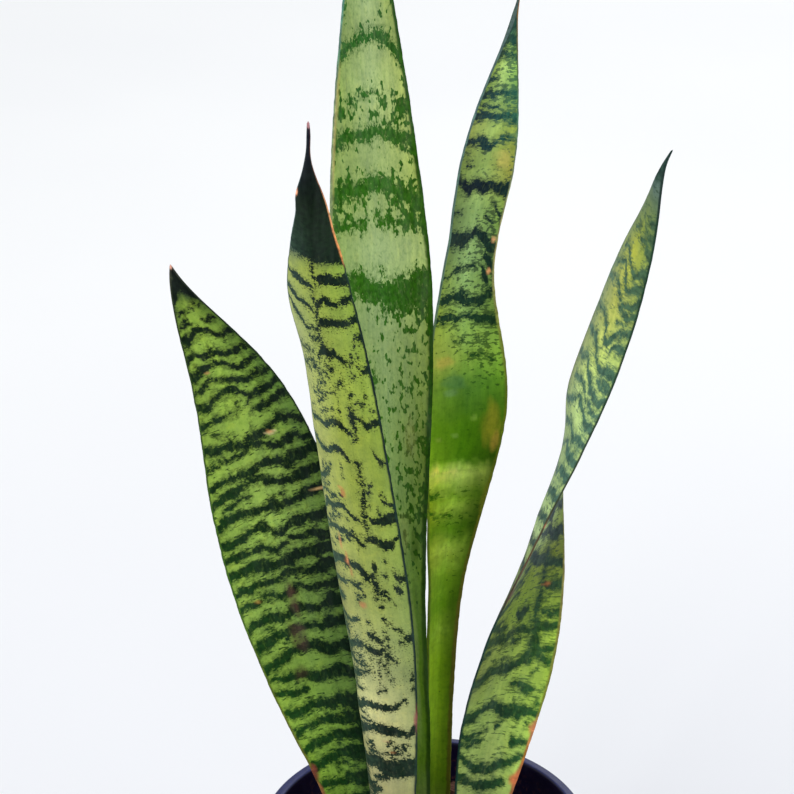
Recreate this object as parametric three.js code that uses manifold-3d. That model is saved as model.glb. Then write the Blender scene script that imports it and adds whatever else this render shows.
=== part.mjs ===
// Snake plant in a plain round nursery pot, standing on Z = 0, in millimetres, +Z up.
// The front of the plant faces -Y. Origin: centre of the pot's underside.
import * as THREE from 'three';
import Module from 'manifold-3d';

// ---------- driving dimensions, mm ----------
const POT_H = 143.7;           // height of the pot over the lip
const POT_R_LIP = 74.2;        // outer radius of the rolled lip
const POT_R_TOP = 70.6;       // outer wall radius just under the lip
const POT_R_BASE = 54.5;       // outer wall radius at the foot
const POT_WALL = 2.2;         // wall thickness
const POT_FLOOR = 4.2;        // floor thickness
const LIP_H = 11;             // height of the collar band under the lip
const LIP_EDGE = 5.0;         // radial thickness of the collar
const FOOT_STEP = 1.1;        // small step above the foot
const DRAIN_N = 6;            // drainage holes round the floor
const DRAIN_R = 5;            // radius of a drainage hole
const DRAIN_PCR = 38;         // radius of the circle the holes sit on
const SOIL_EDGE_Z = 124.5;    // height of the potting mix at the wall
const SOIL_MID_Z = 129.5;     // height of the potting mix at the middle
const SOIL_BUMP = 1.3;        // height of the lumps in the surface
const GAP = 0.3;              // clearance left between touching pieces
const SOIL_RINGS = 9;
const SOIL_SEG = 48;
const POT_SEG = 60;
const SOCKET_TOP = 170;       // the sockets in the mix are shaped from the leaf up to here

// Leaf tables. One row per cross-section, from the tip to the buried base:
// left margin x, y, z, right margin x, y, z, channel depth (+ hollow side to the
// front of a leaf whose right margin is at +X), place of the deepest line from
// margin to margin, thickness at that line.
const LEAF_LEFT = [
  [-104.31, -14.01, 425.38, -103.56, -13.8, 425.57, 0.28, 0.5, 0.6],
  [-104.56, -13.97, 420.45, -101.2, -13.03, 421.3, 0.53, 0.5, 2.45],
  [-104.31, -13.93, 413.33, -97.02, -11.91, 415.19, 0.8, 0.5, 2.51],
  [-103.42, -13.95, 405.19, -91.41, -10.62, 408.24, 1.11, 0.5, 2.58],
  [-101.99, -14, 396.05, -84.99, -9.27, 400.92, 1.45, 0.5, 2.66],
  [-100.14, -14, 386.26, -78.06, -7.92, 393.05, 1.67, 0.5, 2.74],
  [-98.18, -14, 375.86, -70.93, -6.59, 384.48, 1.87, 0.5, 2.83],
  [-96.34, -14, 364.88, -64.04, -5.34, 374.99, 2.09, 0.5, 2.92],
  [-94.81, -14, 353.36, -57.75, -4.3, 364.51, 2.32, 0.5, 3.01],
  [-93.66, -14, 341.36, -52.09, -3.5, 353.11, 2.55, 0.5, 3.11],
  [-92.6, -14, 328.93, -47.2, -2.73, 340.9, 2.79, 0.5, 3.21],
  [-91.23, -14, 316.15, -42.95, -1.99, 328.03, 3.04, 0.5, 3.24],
  [-89.3, -14, 303.09, -39.21, -1.31, 314.6, 3.3, 0.5, 3.28],
  [-86.81, -14, 289.78, -35.92, -0.74, 300.68, 3.56, 0.5, 3.32],
  [-83.74, -14, 276.26, -33.03, -0.3, 286.33, 3.83, 0.5, 3.37],
  [-80.12, -14.02, 262.57, -30.46, -0.05, 271.59, 4.07, 0.5, 3.41],
  [-75.91, -14.18, 248.75, -28.12, -0.03, 256.51, 4.26, 0.5, 3.45],
  [-71.15, -14.44, 234.83, -25.89, -0.4, 241.12, 4.46, 0.5, 3.49],
  [-65.86, -14.79, 220.82, -23.67, -1.13, 225.46, 4.66, 0.5, 3.54],
  [-60.08, -15.16, 206.73, -21.42, -2.1, 209.55, 4.86, 0.5, 3.59],
  [-54.04, -15.54, 192.48, -19.27, -3.19, 193.38, 5.07, 0.5, 3.63],
  [-48.07, -15.88, 177.95, -17.39, -4.28, 176.92, 5.28, 0.5, 3.68],
  [-42.55, -16.16, 163.01, -15.98, -5.22, 160.17, 5.49, 0.5, 3.79],
  [-37.86, -16.44, 147.56, -15.2, -6.12, 143.14, 5.5, 0.5, 3.91],
  [-34.41, -16.72, 131.56, -15.25, -7.05, 125.87, 5.5, 0.5, 4.04],
  [-32.6, -17, 115.1, -16.36, -8, 108.42, 5.5, 0.5, 4.16]
];
const LEAF_FRONT = [
  [-46.4, -62.1, 504.34, -45.5, -62.08, 504.36, -0.32, 0.5, 0.68],
  [-46.63, -61.66, 499.04, -45.23, -61.63, 499.07, -0.48, 0.5, 1.05],
  [-46.85, -61.15, 494.18, -45.4, -61.13, 494.22, -0.51, 0.49, 1.09],
  [-47.72, -60.39, 488.16, -45.03, -60.35, 488.22, -0.87, 0.49, 1.87],
  [-49.37, -59.14, 481.29, -43.16, -59.4, 481.41, -1.19, 0.49, 2.39],
  [-51.33, -56.92, 473.8, -40.64, -58.15, 474.02, -1.49, 0.48, 2.44],
  [-51.59, -54.19, 465.87, -38.57, -56.48, 466.05, -1.83, 0.47, 2.49],
  [-53.03, -50.81, 457.46, -36.76, -54.45, 457.49, -2.19, 0.47, 2.55],
  [-54.25, -47.22, 448.58, -34.48, -52.35, 448.38, -2.51, 0.46, 2.61],
  [-55.33, -43.56, 439.15, -32.37, -50.24, 438.71, -2.85, 0.45, 2.67],
  [-55.74, -40.11, 429.04, -30.37, -48.37, 428.5, -3.2, 0.44, 2.74],
  [-54.8, -37.33, 418.26, -27.95, -47.09, 417.74, -3.57, 0.43, 2.81],
  [-52.62, -34.96, 407.1, -25.6, -45.99, 406.51, -3.95, 0.42, 2.88],
  [-50.31, -32.72, 395.5, -23.34, -45.01, 394.82, -4.35, 0.4, 2.95],
  [-48.7, -30.62, 383.36, -21.19, -44.09, 382.7, -4.62, 0.37, 3.01],
  [-47.54, -28.71, 370.75, -19.15, -43.14, 370.19, -4.67, 0.35, 3.04],
  [-46.34, -27.02, 357.74, -17.19, -42.06, 357.31, -4.71, 0.33, 3.07],
  [-44.96, -25.6, 344.37, -15.26, -40.86, 344.08, -4.76, 0.32, 3.1],
  [-43.41, -24.36, 330.65, -13.3, -39.61, 330.52, -4.82, 0.31, 3.13],
  [-41.71, -23.25, 316.61, -11.3, -38.31, 316.64, -4.87, 0.3, 3.16],
  [-39.86, -22.26, 302.26, -9.36, -36.97, 302.44, -4.92, 0.29, 3.19],
  [-37.89, -21.35, 287.6, -7.58, -35.56, 287.91, -4.98, 0.28, 3.23],
  [-35.84, -20.49, 272.65, -6.1, -34.1, 273.05, -5.03, 0.28, 3.26],
  [-33.75, -19.65, 257.42, -5.01, -32.5, 257.88, -5.09, 0.27, 3.29],
  [-31.7, -18.73, 241.89, -4.29, -30.74, 242.43, -5.15, 0.27, 3.33],
  [-29.73, -17.82, 226.07, -3.9, -28.91, 226.69, -5.19, 0.26, 3.36],
  [-27.88, -16.99, 209.96, -3.78, -27.11, 210.68, -5.11, 0.27, 3.4],
  [-26.23, -16.35, 193.56, -3.9, -25.45, 194.38, -5.03, 0.27, 3.44],
  [-24.84, -16.02, 176.86, -4.22, -24.04, 177.81, -4.94, 0.28, 3.51],
  [-23.73, -16.07, 159.89, -4.68, -22.84, 160.98, -4.86, 0.28, 3.61],
  [-22.86, -16.42, 142.65, -5.23, -21.75, 143.89, -4.77, 0.29, 3.7],
  [-22.09, -17.06, 125.18, -5.81, -20.8, 126.55, -4.69, 0.29, 3.8],
  [-21.32, -18, 107.48, -6.35, -20, 108.96, -4.6, 0.3, 3.9]
];
const LEAF_CENTER = [
  [-27.29, 29.75, 591.86, -26.44, 29.46, 591.91, 0.32, 0.5, 0.68],
  [-27.72, 28.62, 585.77, -26.4, 28.17, 585.84, 0.42, 0.5, 1.05],
  [-28.73, 27.25, 576.84, -25.27, 26.07, 577.04, 0.54, 0.5, 2.65],
  [-29.88, 25.84, 566.43, -23.25, 23.57, 566.82, 0.69, 0.5, 2.71],
  [-31.21, 24.13, 554.89, -20.54, 21.14, 555.58, 0.86, 0.5, 2.78],
  [-32.62, 22.32, 542.42, -17.62, 18.74, 543.42, 1.05, 0.5, 2.85],
  [-34.05, 20.43, 529.18, -14.79, 16.48, 530.38, 1.32, 0.5, 2.93],
  [-35.47, 18.44, 515.24, -12.19, 14.33, 516.55, 1.61, 0.5, 3.01],
  [-36.82, 16.26, 500.69, -9.77, 12.1, 502.06, 1.91, 0.5, 3.09],
  [-38.04, 13.95, 485.57, -7.48, 9.85, 486.98, 2.22, 0.5, 3.18],
  [-39.06, 11.6, 469.92, -5.24, 7.69, 471.33, 2.54, 0.5, 3.27],
  [-39.82, 9.32, 453.76, -3, 5.72, 455.17, 2.86, 0.5, 3.36],
  [-40.25, 7.22, 437.1, -0.82, 4.04, 438.51, 3.2, 0.5, 3.42],
  [-40.29, 5.4, 419.98, 0.95, 2.77, 421.33, 3.54, 0.5, 3.46],
  [-39.87, 3.99, 402.41, 2.03, 2, 403.66, 3.79, 0.5, 3.49],
  [-39.02, 2.8, 384.47, 2.43, 1.55, 385.56, 4.05, 0.5, 3.53],
  [-37.77, 1.64, 366.18, 2.31, 1.14, 367.09, 4.31, 0.5, 3.57],
  [-36.19, 0.56, 347.56, 1.83, 0.78, 348.28, 4.58, 0.5, 3.61],
  [-34.35, -0.4, 328.62, 1.15, 0.48, 329.13, 4.86, 0.5, 3.64],
  [-32.31, -1.17, 309.37, 0.46, 0.25, 309.67, 5.13, 0.5, 3.68],
  [-30.16, -1.72, 289.82, -0.07, 0.09, 289.88, 5.42, 0.5, 3.72],
  [-27.97, -1.98, 269.96, -0.24, 0.01, 269.79, 5.7, 0.5, 3.77],
  [-25.81, -1.94, 249.82, 0.1, 0.18, 249.42, 6, 0.5, 3.81],
  [-23.73, -1.67, 229.38, 0.82, 1.02, 228.79, 5.93, 0.5, 3.85],
  [-21.82, -1.23, 208.66, 1.61, 2.18, 207.91, 5.86, 0.5, 3.89],
  [-20.12, -0.7, 187.66, 2.15, 3.28, 186.75, 5.79, 0.5, 3.97],
  [-18.7, -0.14, 166.39, 2.29, 3.95, 165.31, 5.72, 0.5, 4.08],
  [-17.64, 0.45, 144.84, 2.13, 4, 143.61, 5.65, 0.5, 4.19],
  [-17.01, 1.18, 123.05, 1.86, 4, 121.67, 5.57, 0.5, 4.31],
  [-16.86, 2, 101.01, 1.62, 4, 99.5, 5.5, 0.5, 4.42]
];
const LEAF_BACK_RIGHT = [
  [39.25, 79.73, 515.78, 39.72, 80.37, 515.68, 0.27, 0.5, 0.6],
  [39.01, 79.71, 512.66, 39.52, 80.41, 512.55, 0.31, 0.5, 0.66],
  [38.44, 79.71, 507.46, 39.12, 80.64, 507.31, 0.4, 0.5, 0.87],
  [37.12, 79.21, 501.13, 38.59, 81.21, 500.82, 0.88, 0.5, 1.88],
  [34.56, 77.9, 494.12, 38.62, 82.22, 493.2, 1.21, 0.5, 2.39],
  [31.18, 76.29, 486.5, 38.86, 83.09, 484.72, 1.56, 0.5, 2.44],
  [27.53, 74.66, 478.24, 39.18, 83.67, 475.5, 1.94, 0.5, 2.49],
  [23.86, 72.95, 469.32, 39.51, 83.97, 465.63, 2.12, 0.5, 2.55],
  [20.28, 70.99, 459.75, 39.71, 84, 455.13, 2.27, 0.5, 2.61],
  [17.09, 68.63, 449.55, 39.53, 84, 444.07, 2.43, 0.5, 2.67],
  [14.44, 65.88, 438.74, 38.61, 84, 432.52, 2.59, 0.5, 2.74],
  [12.43, 62.91, 427.34, 36.64, 83.85, 420.59, 2.77, 0.5, 2.81],
  [10.97, 59.88, 415.39, 33.96, 83.14, 408.34, 2.95, 0.5, 2.88],
  [9.14, 56.64, 403.09, 31.4, 81.81, 395.66, 3.13, 0.5, 2.95],
  [6.67, 53.23, 390.49, 30.04, 74.45, 384.76, 3.32, 0.5, 3.01],
  [4.17, 49.71, 377.51, 30.84, 65.58, 374.28, 3.52, 0.5, 3.04],
  [2.18, 46.14, 364.04, 33.12, 59.62, 361.55, 3.73, 0.5, 3.07],
  [0.93, 42.61, 350.09, 35.28, 54.45, 348.06, 3.94, 0.5, 3.1],
  [0.33, 39.23, 335.69, 35.84, 49.9, 333.81, 4.15, 0.5, 3.13],
  [0.21, 35.8, 320.93, 33.94, 45.76, 319.17, 4.37, 0.5, 3.16],
  [0.42, 32.31, 305.83, 30.36, 41.93, 304.4, 4.5, 0.5, 3.19],
  [0.75, 28.93, 290.37, 26.17, 38.4, 289.35, 4.5, 0.5, 3.23],
  [1, 25.83, 274.53, 22, 35.16, 273.89, 4.5, 0.5, 3.26],
  [1.13, 23.2, 258.29, 18.16, 32.21, 257.96, 4.5, 0.5, 3.29],
  [1.15, 21.12, 241.66, 15.65, 29.55, 241.4, 4.5, 0.5, 3.33],
  [1.09, 19.1, 224.72, 14.23, 27.1, 224.38, 4.5, 0.5, 3.36],
  [0.96, 17.19, 207.48, 13.24, 24.84, 207, 4.5, 0.5, 3.4],
  [0.8, 15.59, 189.93, 12.54, 22.79, 189.29, 4.43, 0.5, 3.44],
  [0.63, 14.48, 172.06, 12.07, 20.97, 171.27, 4.34, 0.5, 3.51],
  [0.48, 14.01, 153.89, 11.76, 19.38, 152.95, 4.26, 0.5, 3.61],
  [0.37, 14, 135.45, 11.53, 18.04, 134.34, 4.17, 0.5, 3.7],
  [0.31, 14, 116.75, 11.33, 16.91, 115.45, 4.01, 0.5, 3.8],
  [0.33, 14, 97.8, 11.09, 16, 96.29, 3.86, 0.5, 3.9]
];
const LEAF_RIGHT = [
  [99.15, 13.63, 464.09, 98.86, 14.37, 464.22, 0.28, 0.5, 0.6],
  [97.06, 13.22, 458.58, 96.34, 15.13, 458.92, 0.44, 0.5, 1.55],
  [95.83, 11.87, 452.49, 94, 16.67, 453.34, 0.59, 0.5, 2.33],
  [94.98, 10.09, 445.2, 91.79, 18.48, 446.69, 0.77, 0.5, 2.38],
  [94.25, 8.11, 437.19, 89.28, 20.17, 439.2, 0.96, 0.5, 2.43],
  [93.19, 6.01, 428.59, 86.04, 21.44, 431.22, 1.17, 0.5, 2.49],
  [91.68, 3.74, 419.56, 82.29, 21.99, 422.8, 1.31, 0.5, 2.55],
  [89.72, 1.34, 410.14, 78.64, 22, 413.79, 1.44, 0.5, 2.62],
  [87.31, -0.86, 400.31, 75.33, 22, 404.2, 1.58, 0.5, 2.69],
  [84.46, -2.79, 390.13, 72.15, 22, 394.16, 1.72, 0.5, 2.76],
  [81.13, -4.64, 379.69, 68.84, 22, 383.78, 1.86, 0.5, 2.83],
  [77.29, -6.62, 369.08, 65.27, 22, 373.15, 1.95, 0.5, 2.91],
  [72.93, -9.03, 358.42, 61.97, 22, 362.09, 1.42, 0.5, 2.99],
  [67.99, -12.36, 347.92, 59.86, 22, 350.47, 0.87, 0.5, 3.02],
  [62.65, -15.72, 337.31, 60.12, 21.87, 338.4, 0.66, 0.5, 3.05],
  [57.12, -17.93, 326.19, 59.86, 21.38, 326.07, 1.25, 0.5, 3.08],
  [51.58, -19.01, 314.62, 59.44, 20.6, 313.49, 2.5, 0.5, 3.11],
  [46.59, -18.94, 302.6, 59.59, 18.38, 300.76, 3.8, 0.5, 3.14],
  [41.63, -19.53, 290.19, 60.17, 16.56, 287.89, 4.51, 0.5, 3.18],
  [36.44, -18.44, 277.68, 60.61, 14.19, 274.88, 5.24, 0.5, 3.21],
  [31.65, -15.94, 264.99, 60.38, 11.52, 261.63, 6.77, 0.5, 3.24],
  [27.43, -13.3, 251.9, 59.53, 8.76, 248.22, 7.6, 0.5, 3.27],
  [23.73, -11.24, 238.35, 57.92, 6.27, 234.63, 7.51, 0.5, 3.31],
  [20.33, -9.29, 224.49, 55.38, 4.02, 220.94, 7, 0.5, 3.34],
  [17.38, -7.34, 210.34, 51.96, 1.73, 207.25, 6.68, 0.5, 3.38],
  [15.1, -5.53, 195.86, 48, -0.34, 193.49, 6.36, 0.5, 3.41],
  [13.75, -4.05, 181.05, 43.83, -1.96, 179.54, 6.03, 0.5, 3.45],
  [13.33, -3.1, 165.97, 39.78, -2.92, 165.33, 5.82, 0.5, 3.53],
  [13.64, -2.67, 150.68, 36.09, -3.34, 150.81, 5.62, 0.5, 3.62],
  [14.41, -2.32, 135.25, 32.95, -3.68, 136, 5.41, 0.5, 3.71],
  [15.37, -2.09, 119.66, 30.64, -3.91, 120.88, 5.21, 0.5, 3.81],
  [16.23, -2, 103.91, 29.48, -4, 105.47, 4.72, 0.5, 3.9]
];

// Bark chips lying on the mix: x, y, length, width, thickness, turn about Z (deg), tilt (deg), seed
const CHIPS = [
  [38.5, -41.5, 15, 10.5, 3.6, 24, 7, 3],
  [56.0, -22.0, 11, 7.5, 3.0, 112, -6, 11],
  [20.5, -54.5, 12, 8.0, 3.2, -35, 5, 7],
  [-38.0, -38.5, 16, 9.0, 3.4, 64, -5, 19],
  [-6.0, -52.0, 10, 7.0, 2.8, 8, 6, 23],
  [-50.5, -4.0, 13, 8.5, 3.2, -72, 5, 31],
  [-30.0, 44.0, 17, 9.5, 3.6, 40, -4, 41],
  [17.0, 50.5, 12, 9.0, 3.0, -18, 6, 47],
  [49.0, 22.0, 14, 8.0, 3.2, 75, 5, 53]
];
// Feed beads lying on the mix: x, y, radius
const BEADS = [
  [47.2, -31.2, 2.1],
  [29.0, -40.0, 1.9],
  [-22.5, -50.5, 2.0],
  [-8.0, 58.5, 2.0]
];

const { Manifold, Mesh } = await (async () => { const w = await Module(); w.setup(); return w; })();

// ---------- helpers ----------
const V = (x, y, z) => new THREE.Vector3(x, y, z);

function geometryFrom(positions, index) {
  const g = new THREE.BufferGeometry();
  g.setAttribute('position', new THREE.Float32BufferAttribute(positions, 3));
  g.setIndex(index);
  g.computeVertexNormals();
  return g;
}

// Indexed, welded copy of a three.js geometry as arrays.
function welded(geometry, tol = 1e-4) {
  const p = geometry.attributes.position, idx = geometry.index ? geometry.index.array : [...Array(p.count).keys()];
  const map = new Map(), pos = [], remap = new Array(p.count);
  for (let i = 0; i < p.count; i++) {
    const k = [p.getX(i), p.getY(i), p.getZ(i)].map((v) => Math.round(v / tol)).join(',');
    if (!map.has(k)) { map.set(k, pos.length / 3); pos.push(p.getX(i), p.getY(i), p.getZ(i)); }
    remap[i] = map.get(k);
  }
  const out = [];
  for (let i = 0; i < idx.length; i += 3) {
    const a = remap[idx[i]], b = remap[idx[i + 1]], c = remap[idx[i + 2]];
    if (a !== b && b !== c && a !== c) out.push(a, b, c);
  }
  return { pos, idx: out };
}

function toSolid(geometry) {
  const { pos, idx } = welded(geometry);
  return new Manifold(new Mesh({ numProp: 3, vertProperties: new Float32Array(pos), triVerts: new Uint32Array(idx) }));
}

function fromSolid(solid) {
  const m = solid.getMesh(), pos = [];
  for (let i = 0; i < m.vertProperties.length; i += m.numProp) {
    pos.push(m.vertProperties[i], m.vertProperties[i + 1], m.vertProperties[i + 2]);
  }
  return geometryFrom(pos, Array.from(m.triVerts));
}

// Solid turned about Z from a closed outline [[r, z], ...] in the (r, z) plane.
function turned(outline, seg) {
  const points = outline.concat([outline[0]]).map(([r, z]) => new THREE.Vector2(r, z));
  const g = new THREE.LatheGeometry(points, seg);
  g.rotateX(Math.PI / 2);
  const { pos, idx } = welded(g);
  const closed = geometryFrom(pos, idx);
  return signedVolume(closed) < 0 ? flipped(closed) : closed;
}

function rng(seed) { let s = seed >>> 0; return () => { s = (s * 1664525 + 1013904223) >>> 0; return s / 4294967296; }; }

// ---------- leaf ----------
// Places across the leaf, margin to margin, where the outline has a point.
const ACROSS = [0, 0.07, 0.2, 0.36, 0.5, 0.64, 0.8, 0.93, 1];

function bend(u, c) { return u < c ? Math.sin((Math.PI / 2) * (u / c)) : Math.cos((Math.PI / 2) * ((u - c) / (1 - c))); }

function leafFrames(rows) {
  const mid = rows.map((r) => V((r[0] + r[3]) / 2, (r[1] + r[4]) / 2, (r[2] + r[5]) / 2));
  return rows.map((r, i) => {
    const a = mid[Math.max(0, i - 1)], b = mid[Math.min(rows.length - 1, i + 1)];
    const along = a.clone().sub(b).normalize();                 // towards the tip
    const chord = V(r[3] - r[0], r[4] - r[1], r[5] - r[2]);
    const across = chord.clone().normalize();
    const normal = along.clone().cross(across).normalize();
    return { l: V(r[0], r[1], r[2]), chord, across, normal, along, width: chord.length(), fold: r[6], crease: r[7], thick: r[8] };
  });
}

function bendSlope(u, c) {
  return u < c ? (Math.PI / 2 / c) * Math.cos((Math.PI / 2) * (u / c)) : -(Math.PI / 2 / (1 - c)) * Math.sin((Math.PI / 2) * ((u - c) / (1 - c)));
}

// One ring round a cross-section. grow enlarges it on every side.
function leafRing(f, grow) {
  const front = [], back = [];
  for (const u of ACROSS) {
    const w = 2 * u - 1;
    const half = 0.5 * f.thick * (0.22 + 0.78 * Math.pow(Math.max(0, 1 - Math.pow(Math.abs(w), 2.4)), 0.8));
    const base = f.l.clone().addScaledVector(f.chord, u).addScaledVector(f.normal, f.fold * bend(u, f.crease));
    const run = f.across.clone().multiplyScalar(f.width).addScaledVector(f.normal, f.fold * bendSlope(u, f.crease)).normalize();
    const out = f.along.clone().cross(run).normalize();
    if (u === 0 || u === 1) { front.push(base.addScaledVector(run, Math.sign(w) * grow)); continue; }
    front.push(base.clone().addScaledVector(out, -(half + grow)));
    back.push(base.clone().addScaledVector(out, half + grow));
  }
  return front.concat(back.reverse());
}

function leafGeometry(rows, grow = 0) {
  const fr = leafFrames(rows), rings = fr.map((f) => leafRing(f, grow));
  if (grow > 0) {
    // the socket goes a little deeper than the leaf
    const last = rings[rings.length - 1], f = fr[fr.length - 1];
    last.forEach((p) => p.addScaledVector(f.along, -grow));
  }
  const n = rings[0].length, pos = [], idx = [];
  rings.forEach((r) => r.forEach((p) => pos.push(p.x, p.y, p.z)));
  const tipF = fr[0], tip = tipF.l.clone().addScaledVector(tipF.chord, 0.5).addScaledVector(tipF.along, 0.9 + grow);
  const tipI = pos.length / 3; pos.push(tip.x, tip.y, tip.z);
  const L = rings.length - 1;
  const end = fr[L].l.clone().addScaledVector(fr[L].chord, 0.5).addScaledVector(fr[L].normal, fr[L].fold * 0.9).addScaledVector(fr[L].along, -grow);
  const endI = pos.length / 3; pos.push(end.x, end.y, end.z);
  for (let j = 0; j < n; j++) {
    const k = (j + 1) % n;
    idx.push(tipI, j, k);
    for (let i = 0; i < L; i++) idx.push(i * n + j, (i + 1) * n + j, (i + 1) * n + k, i * n + j, (i + 1) * n + k, i * n + k);
    idx.push(L * n + k, L * n + j, endI);
  }
  const g = geometryFrom(pos, idx);
  return signedVolume(g) < 0 ? flipped(g) : g;
}

function signedVolume(g) {
  const p = g.attributes.position, x = g.index.array; let v = 0;
  for (let i = 0; i < x.length; i += 3) {
    const a = V().fromBufferAttribute(p, x[i]), b = V().fromBufferAttribute(p, x[i + 1]), c = V().fromBufferAttribute(p, x[i + 2]);
    v += a.dot(b.cross(c)) / 6;
  }
  return v;
}
function flipped(g) {
  const x = Array.from(g.index.array);
  for (let i = 0; i < x.length; i += 3) { const t = x[i + 1]; x[i + 1] = x[i + 2]; x[i + 2] = t; }
  return geometryFrom(Array.from(g.attributes.position.array), x);
}

// ---------- pot ----------
function wallR(z) { return POT_R_BASE + (POT_R_TOP - POT_R_BASE) * (z / (POT_H - LIP_H)); }

function makePot() {
  const zc = POT_H - LIP_H;
  const outline = [
    [0, 0], [POT_R_BASE - 3.2, 0], [POT_R_BASE - 1.4, 0.4], [POT_R_BASE - 0.5, 1.4], [wallR(7) - FOOT_STEP + 0.6, 7], [wallR(8.4), 8.4],
    [wallR(60), 60], [wallR(zc - 0.6), zc - 0.6], [POT_R_LIP - 0.9, zc], [POT_R_LIP - 0.35, zc + 1.2], [POT_R_LIP, POT_H - 2.0],
    [POT_R_LIP - 0.7, POT_H - 0.6], [POT_R_LIP - 2.1, POT_H], [POT_R_LIP - LIP_EDGE + 0.9, POT_H - 0.25], [POT_R_LIP - LIP_EDGE, POT_H - 1.3],
    [POT_R_LIP - LIP_EDGE - 0.5, zc + 1.0], [wallR(zc) - POT_WALL - 0.3, zc - 3], [wallR(60) - POT_WALL, 60],
    [wallR(POT_FLOOR + 2.5) - POT_WALL, POT_FLOOR + 2.5], [wallR(POT_FLOOR) - POT_WALL - 2.2, POT_FLOOR], [0, POT_FLOOR]
  ];
  let solid = toSolid(turned(outline, POT_SEG));
  for (let i = 0; i < DRAIN_N; i++) {
    const a = ((i + 0.5) / DRAIN_N) * Math.PI * 2;
    const hole = new THREE.CylinderGeometry(DRAIN_R, DRAIN_R, POT_FLOOR + 8, 20);
    hole.rotateX(Math.PI / 2);
    hole.translate(DRAIN_PCR * Math.cos(a), DRAIN_PCR * Math.sin(a), POT_FLOOR / 2);
    solid = solid.subtract(toSolid(hole));
  }
  return fromSolid(solid);
}

// ---------- potting mix ----------
function soilZ(x, y) {
  const r = Math.hypot(x, y) / POT_R_TOP;
  const dome = SOIL_MID_Z + (SOIL_EDGE_Z - SOIL_MID_Z) * Math.pow(Math.min(1, r), 1.6);
  const b = Math.sin(x * 0.21 + 1.3) * Math.cos(y * 0.19 - 0.7) * 0.55 + Math.sin(x * 0.43 - y * 0.37 + 2.1) * 0.3 + Math.cos(x * 0.11 + y * 0.5) * 0.25;
  return dome + SOIL_BUMP * b * (1 - Math.pow(Math.min(1, r), 6));
}
function innerR(z) {
  if (z <= POT_FLOOR + 2.5) return wallR(POT_FLOOR) - POT_WALL - 2.4;
  return wallR(z) - POT_WALL;
}

const SOIL_R = innerR(SOIL_EDGE_Z + 1) - GAP - 0.15;

function makeSoil(leafTables) {
  const pos = [], idx = [];
  const rTop = SOIL_R;
  pos.push(0, 0, soilZ(0, 0));
  for (let i = 1; i <= SOIL_RINGS; i++) {
    const r = (rTop * i) / SOIL_RINGS;
    for (let j = 0; j < SOIL_SEG; j++) { const a = (j / SOIL_SEG) * Math.PI * 2, x = r * Math.cos(a), y = r * Math.sin(a); pos.push(x, y, soilZ(x, y)); }
  }
  // side, down to the floor, following the taper
  const side = [[105, null], [60, null], [POT_FLOOR + 3.2, null], [POT_FLOOR + GAP, innerR(POT_FLOOR) - GAP - 0.4]];
  side.forEach(([z, rr]) => {
    const r = rr === null ? innerR(z) - GAP - 0.15 : rr;
    for (let j = 0; j < SOIL_SEG; j++) { const a = (j / SOIL_SEG) * Math.PI * 2; pos.push(r * Math.cos(a), r * Math.sin(a), z); }
  });
  const bottom = pos.length / 3; pos.push(0, 0, POT_FLOOR + GAP);
  for (let j = 0; j < SOIL_SEG; j++) idx.push(0, 1 + j, 1 + ((j + 1) % SOIL_SEG));
  const rings = SOIL_RINGS + side.length;
  for (let i = 0; i < rings - 1; i++) {
    for (let j = 0; j < SOIL_SEG; j++) {
      const k = (j + 1) % SOIL_SEG, a = 1 + i * SOIL_SEG, b = a + SOIL_SEG;
      idx.push(a + j, b + j, b + k, a + j, b + k, a + k);
    }
  }
  const lastRing = 1 + (rings - 1) * SOIL_SEG;
  for (let j = 0; j < SOIL_SEG; j++) idx.push(lastRing + ((j + 1) % SOIL_SEG), lastRing + j, bottom);
  let g = geometryFrom(pos, idx);
  if (signedVolume(g) < 0) g = flipped(g);
  let solid = toSolid(g);
  for (const rows of leafTables) {
    // only the buried part of the leaf is needed for its socket
    let first = rows.findIndex((r) => Math.min(r[2], r[5]) < SOCKET_TOP);
    const cut = rows.slice(Math.max(0, first - 2));
    solid = solid.subtract(toSolid(leafGeometry(cut, GAP + 0.05)));
  }
  return fromSolid(solid);
}

// ---------- loose pieces on the mix ----------
// Height of the faceted surface of the mix, the same facets makeSoil lays down.
function gridPoint(i, j) {
  const r = (SOIL_R * i) / SOIL_RINGS, a = ((j % SOIL_SEG) / SOIL_SEG) * Math.PI * 2, x = r * Math.cos(a), y = r * Math.sin(a);
  return [x, y, soilZ(x, y)];
}
function onTriangle(x, y, A, B, C) {
  const d = (B[1] - C[1]) * (A[0] - C[0]) + (C[0] - B[0]) * (A[1] - C[1]);
  const u = ((B[1] - C[1]) * (x - C[0]) + (C[0] - B[0]) * (y - C[1])) / d, v = ((C[1] - A[1]) * (x - C[0]) + (A[0] - C[0]) * (y - C[1])) / d;
  const w = 1 - u - v, e = -1e-6;
  return u >= e && v >= e && w >= e ? u * A[2] + v * B[2] + w * C[2] : null;
}
function facetZ(x, y) {
  const i0 = Math.floor((Math.hypot(x, y) / SOIL_R) * SOIL_RINGS), j0 = Math.floor((Math.atan2(y, x) / (Math.PI * 2)) * SOIL_SEG) + SOIL_SEG;
  for (const di of [0, 1, -1]) {
    const i = i0 + di; if (i < 0 || i >= SOIL_RINGS) continue;
    for (const dj of [0, 1, -1]) {
      const j = j0 + dj + SOIL_SEG, a = gridPoint(i, j), b = gridPoint(i + 1, j), c = gridPoint(i + 1, j + 1), d = gridPoint(i, j + 1);
      const z = i === 0 ? onTriangle(x, y, a, b, c) : (onTriangle(x, y, a, b, c) ?? onTriangle(x, y, a, c, d));
      if (z !== null) return z;
    }
  }
  return soilZ(x, y) + 0.5;
}

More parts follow.
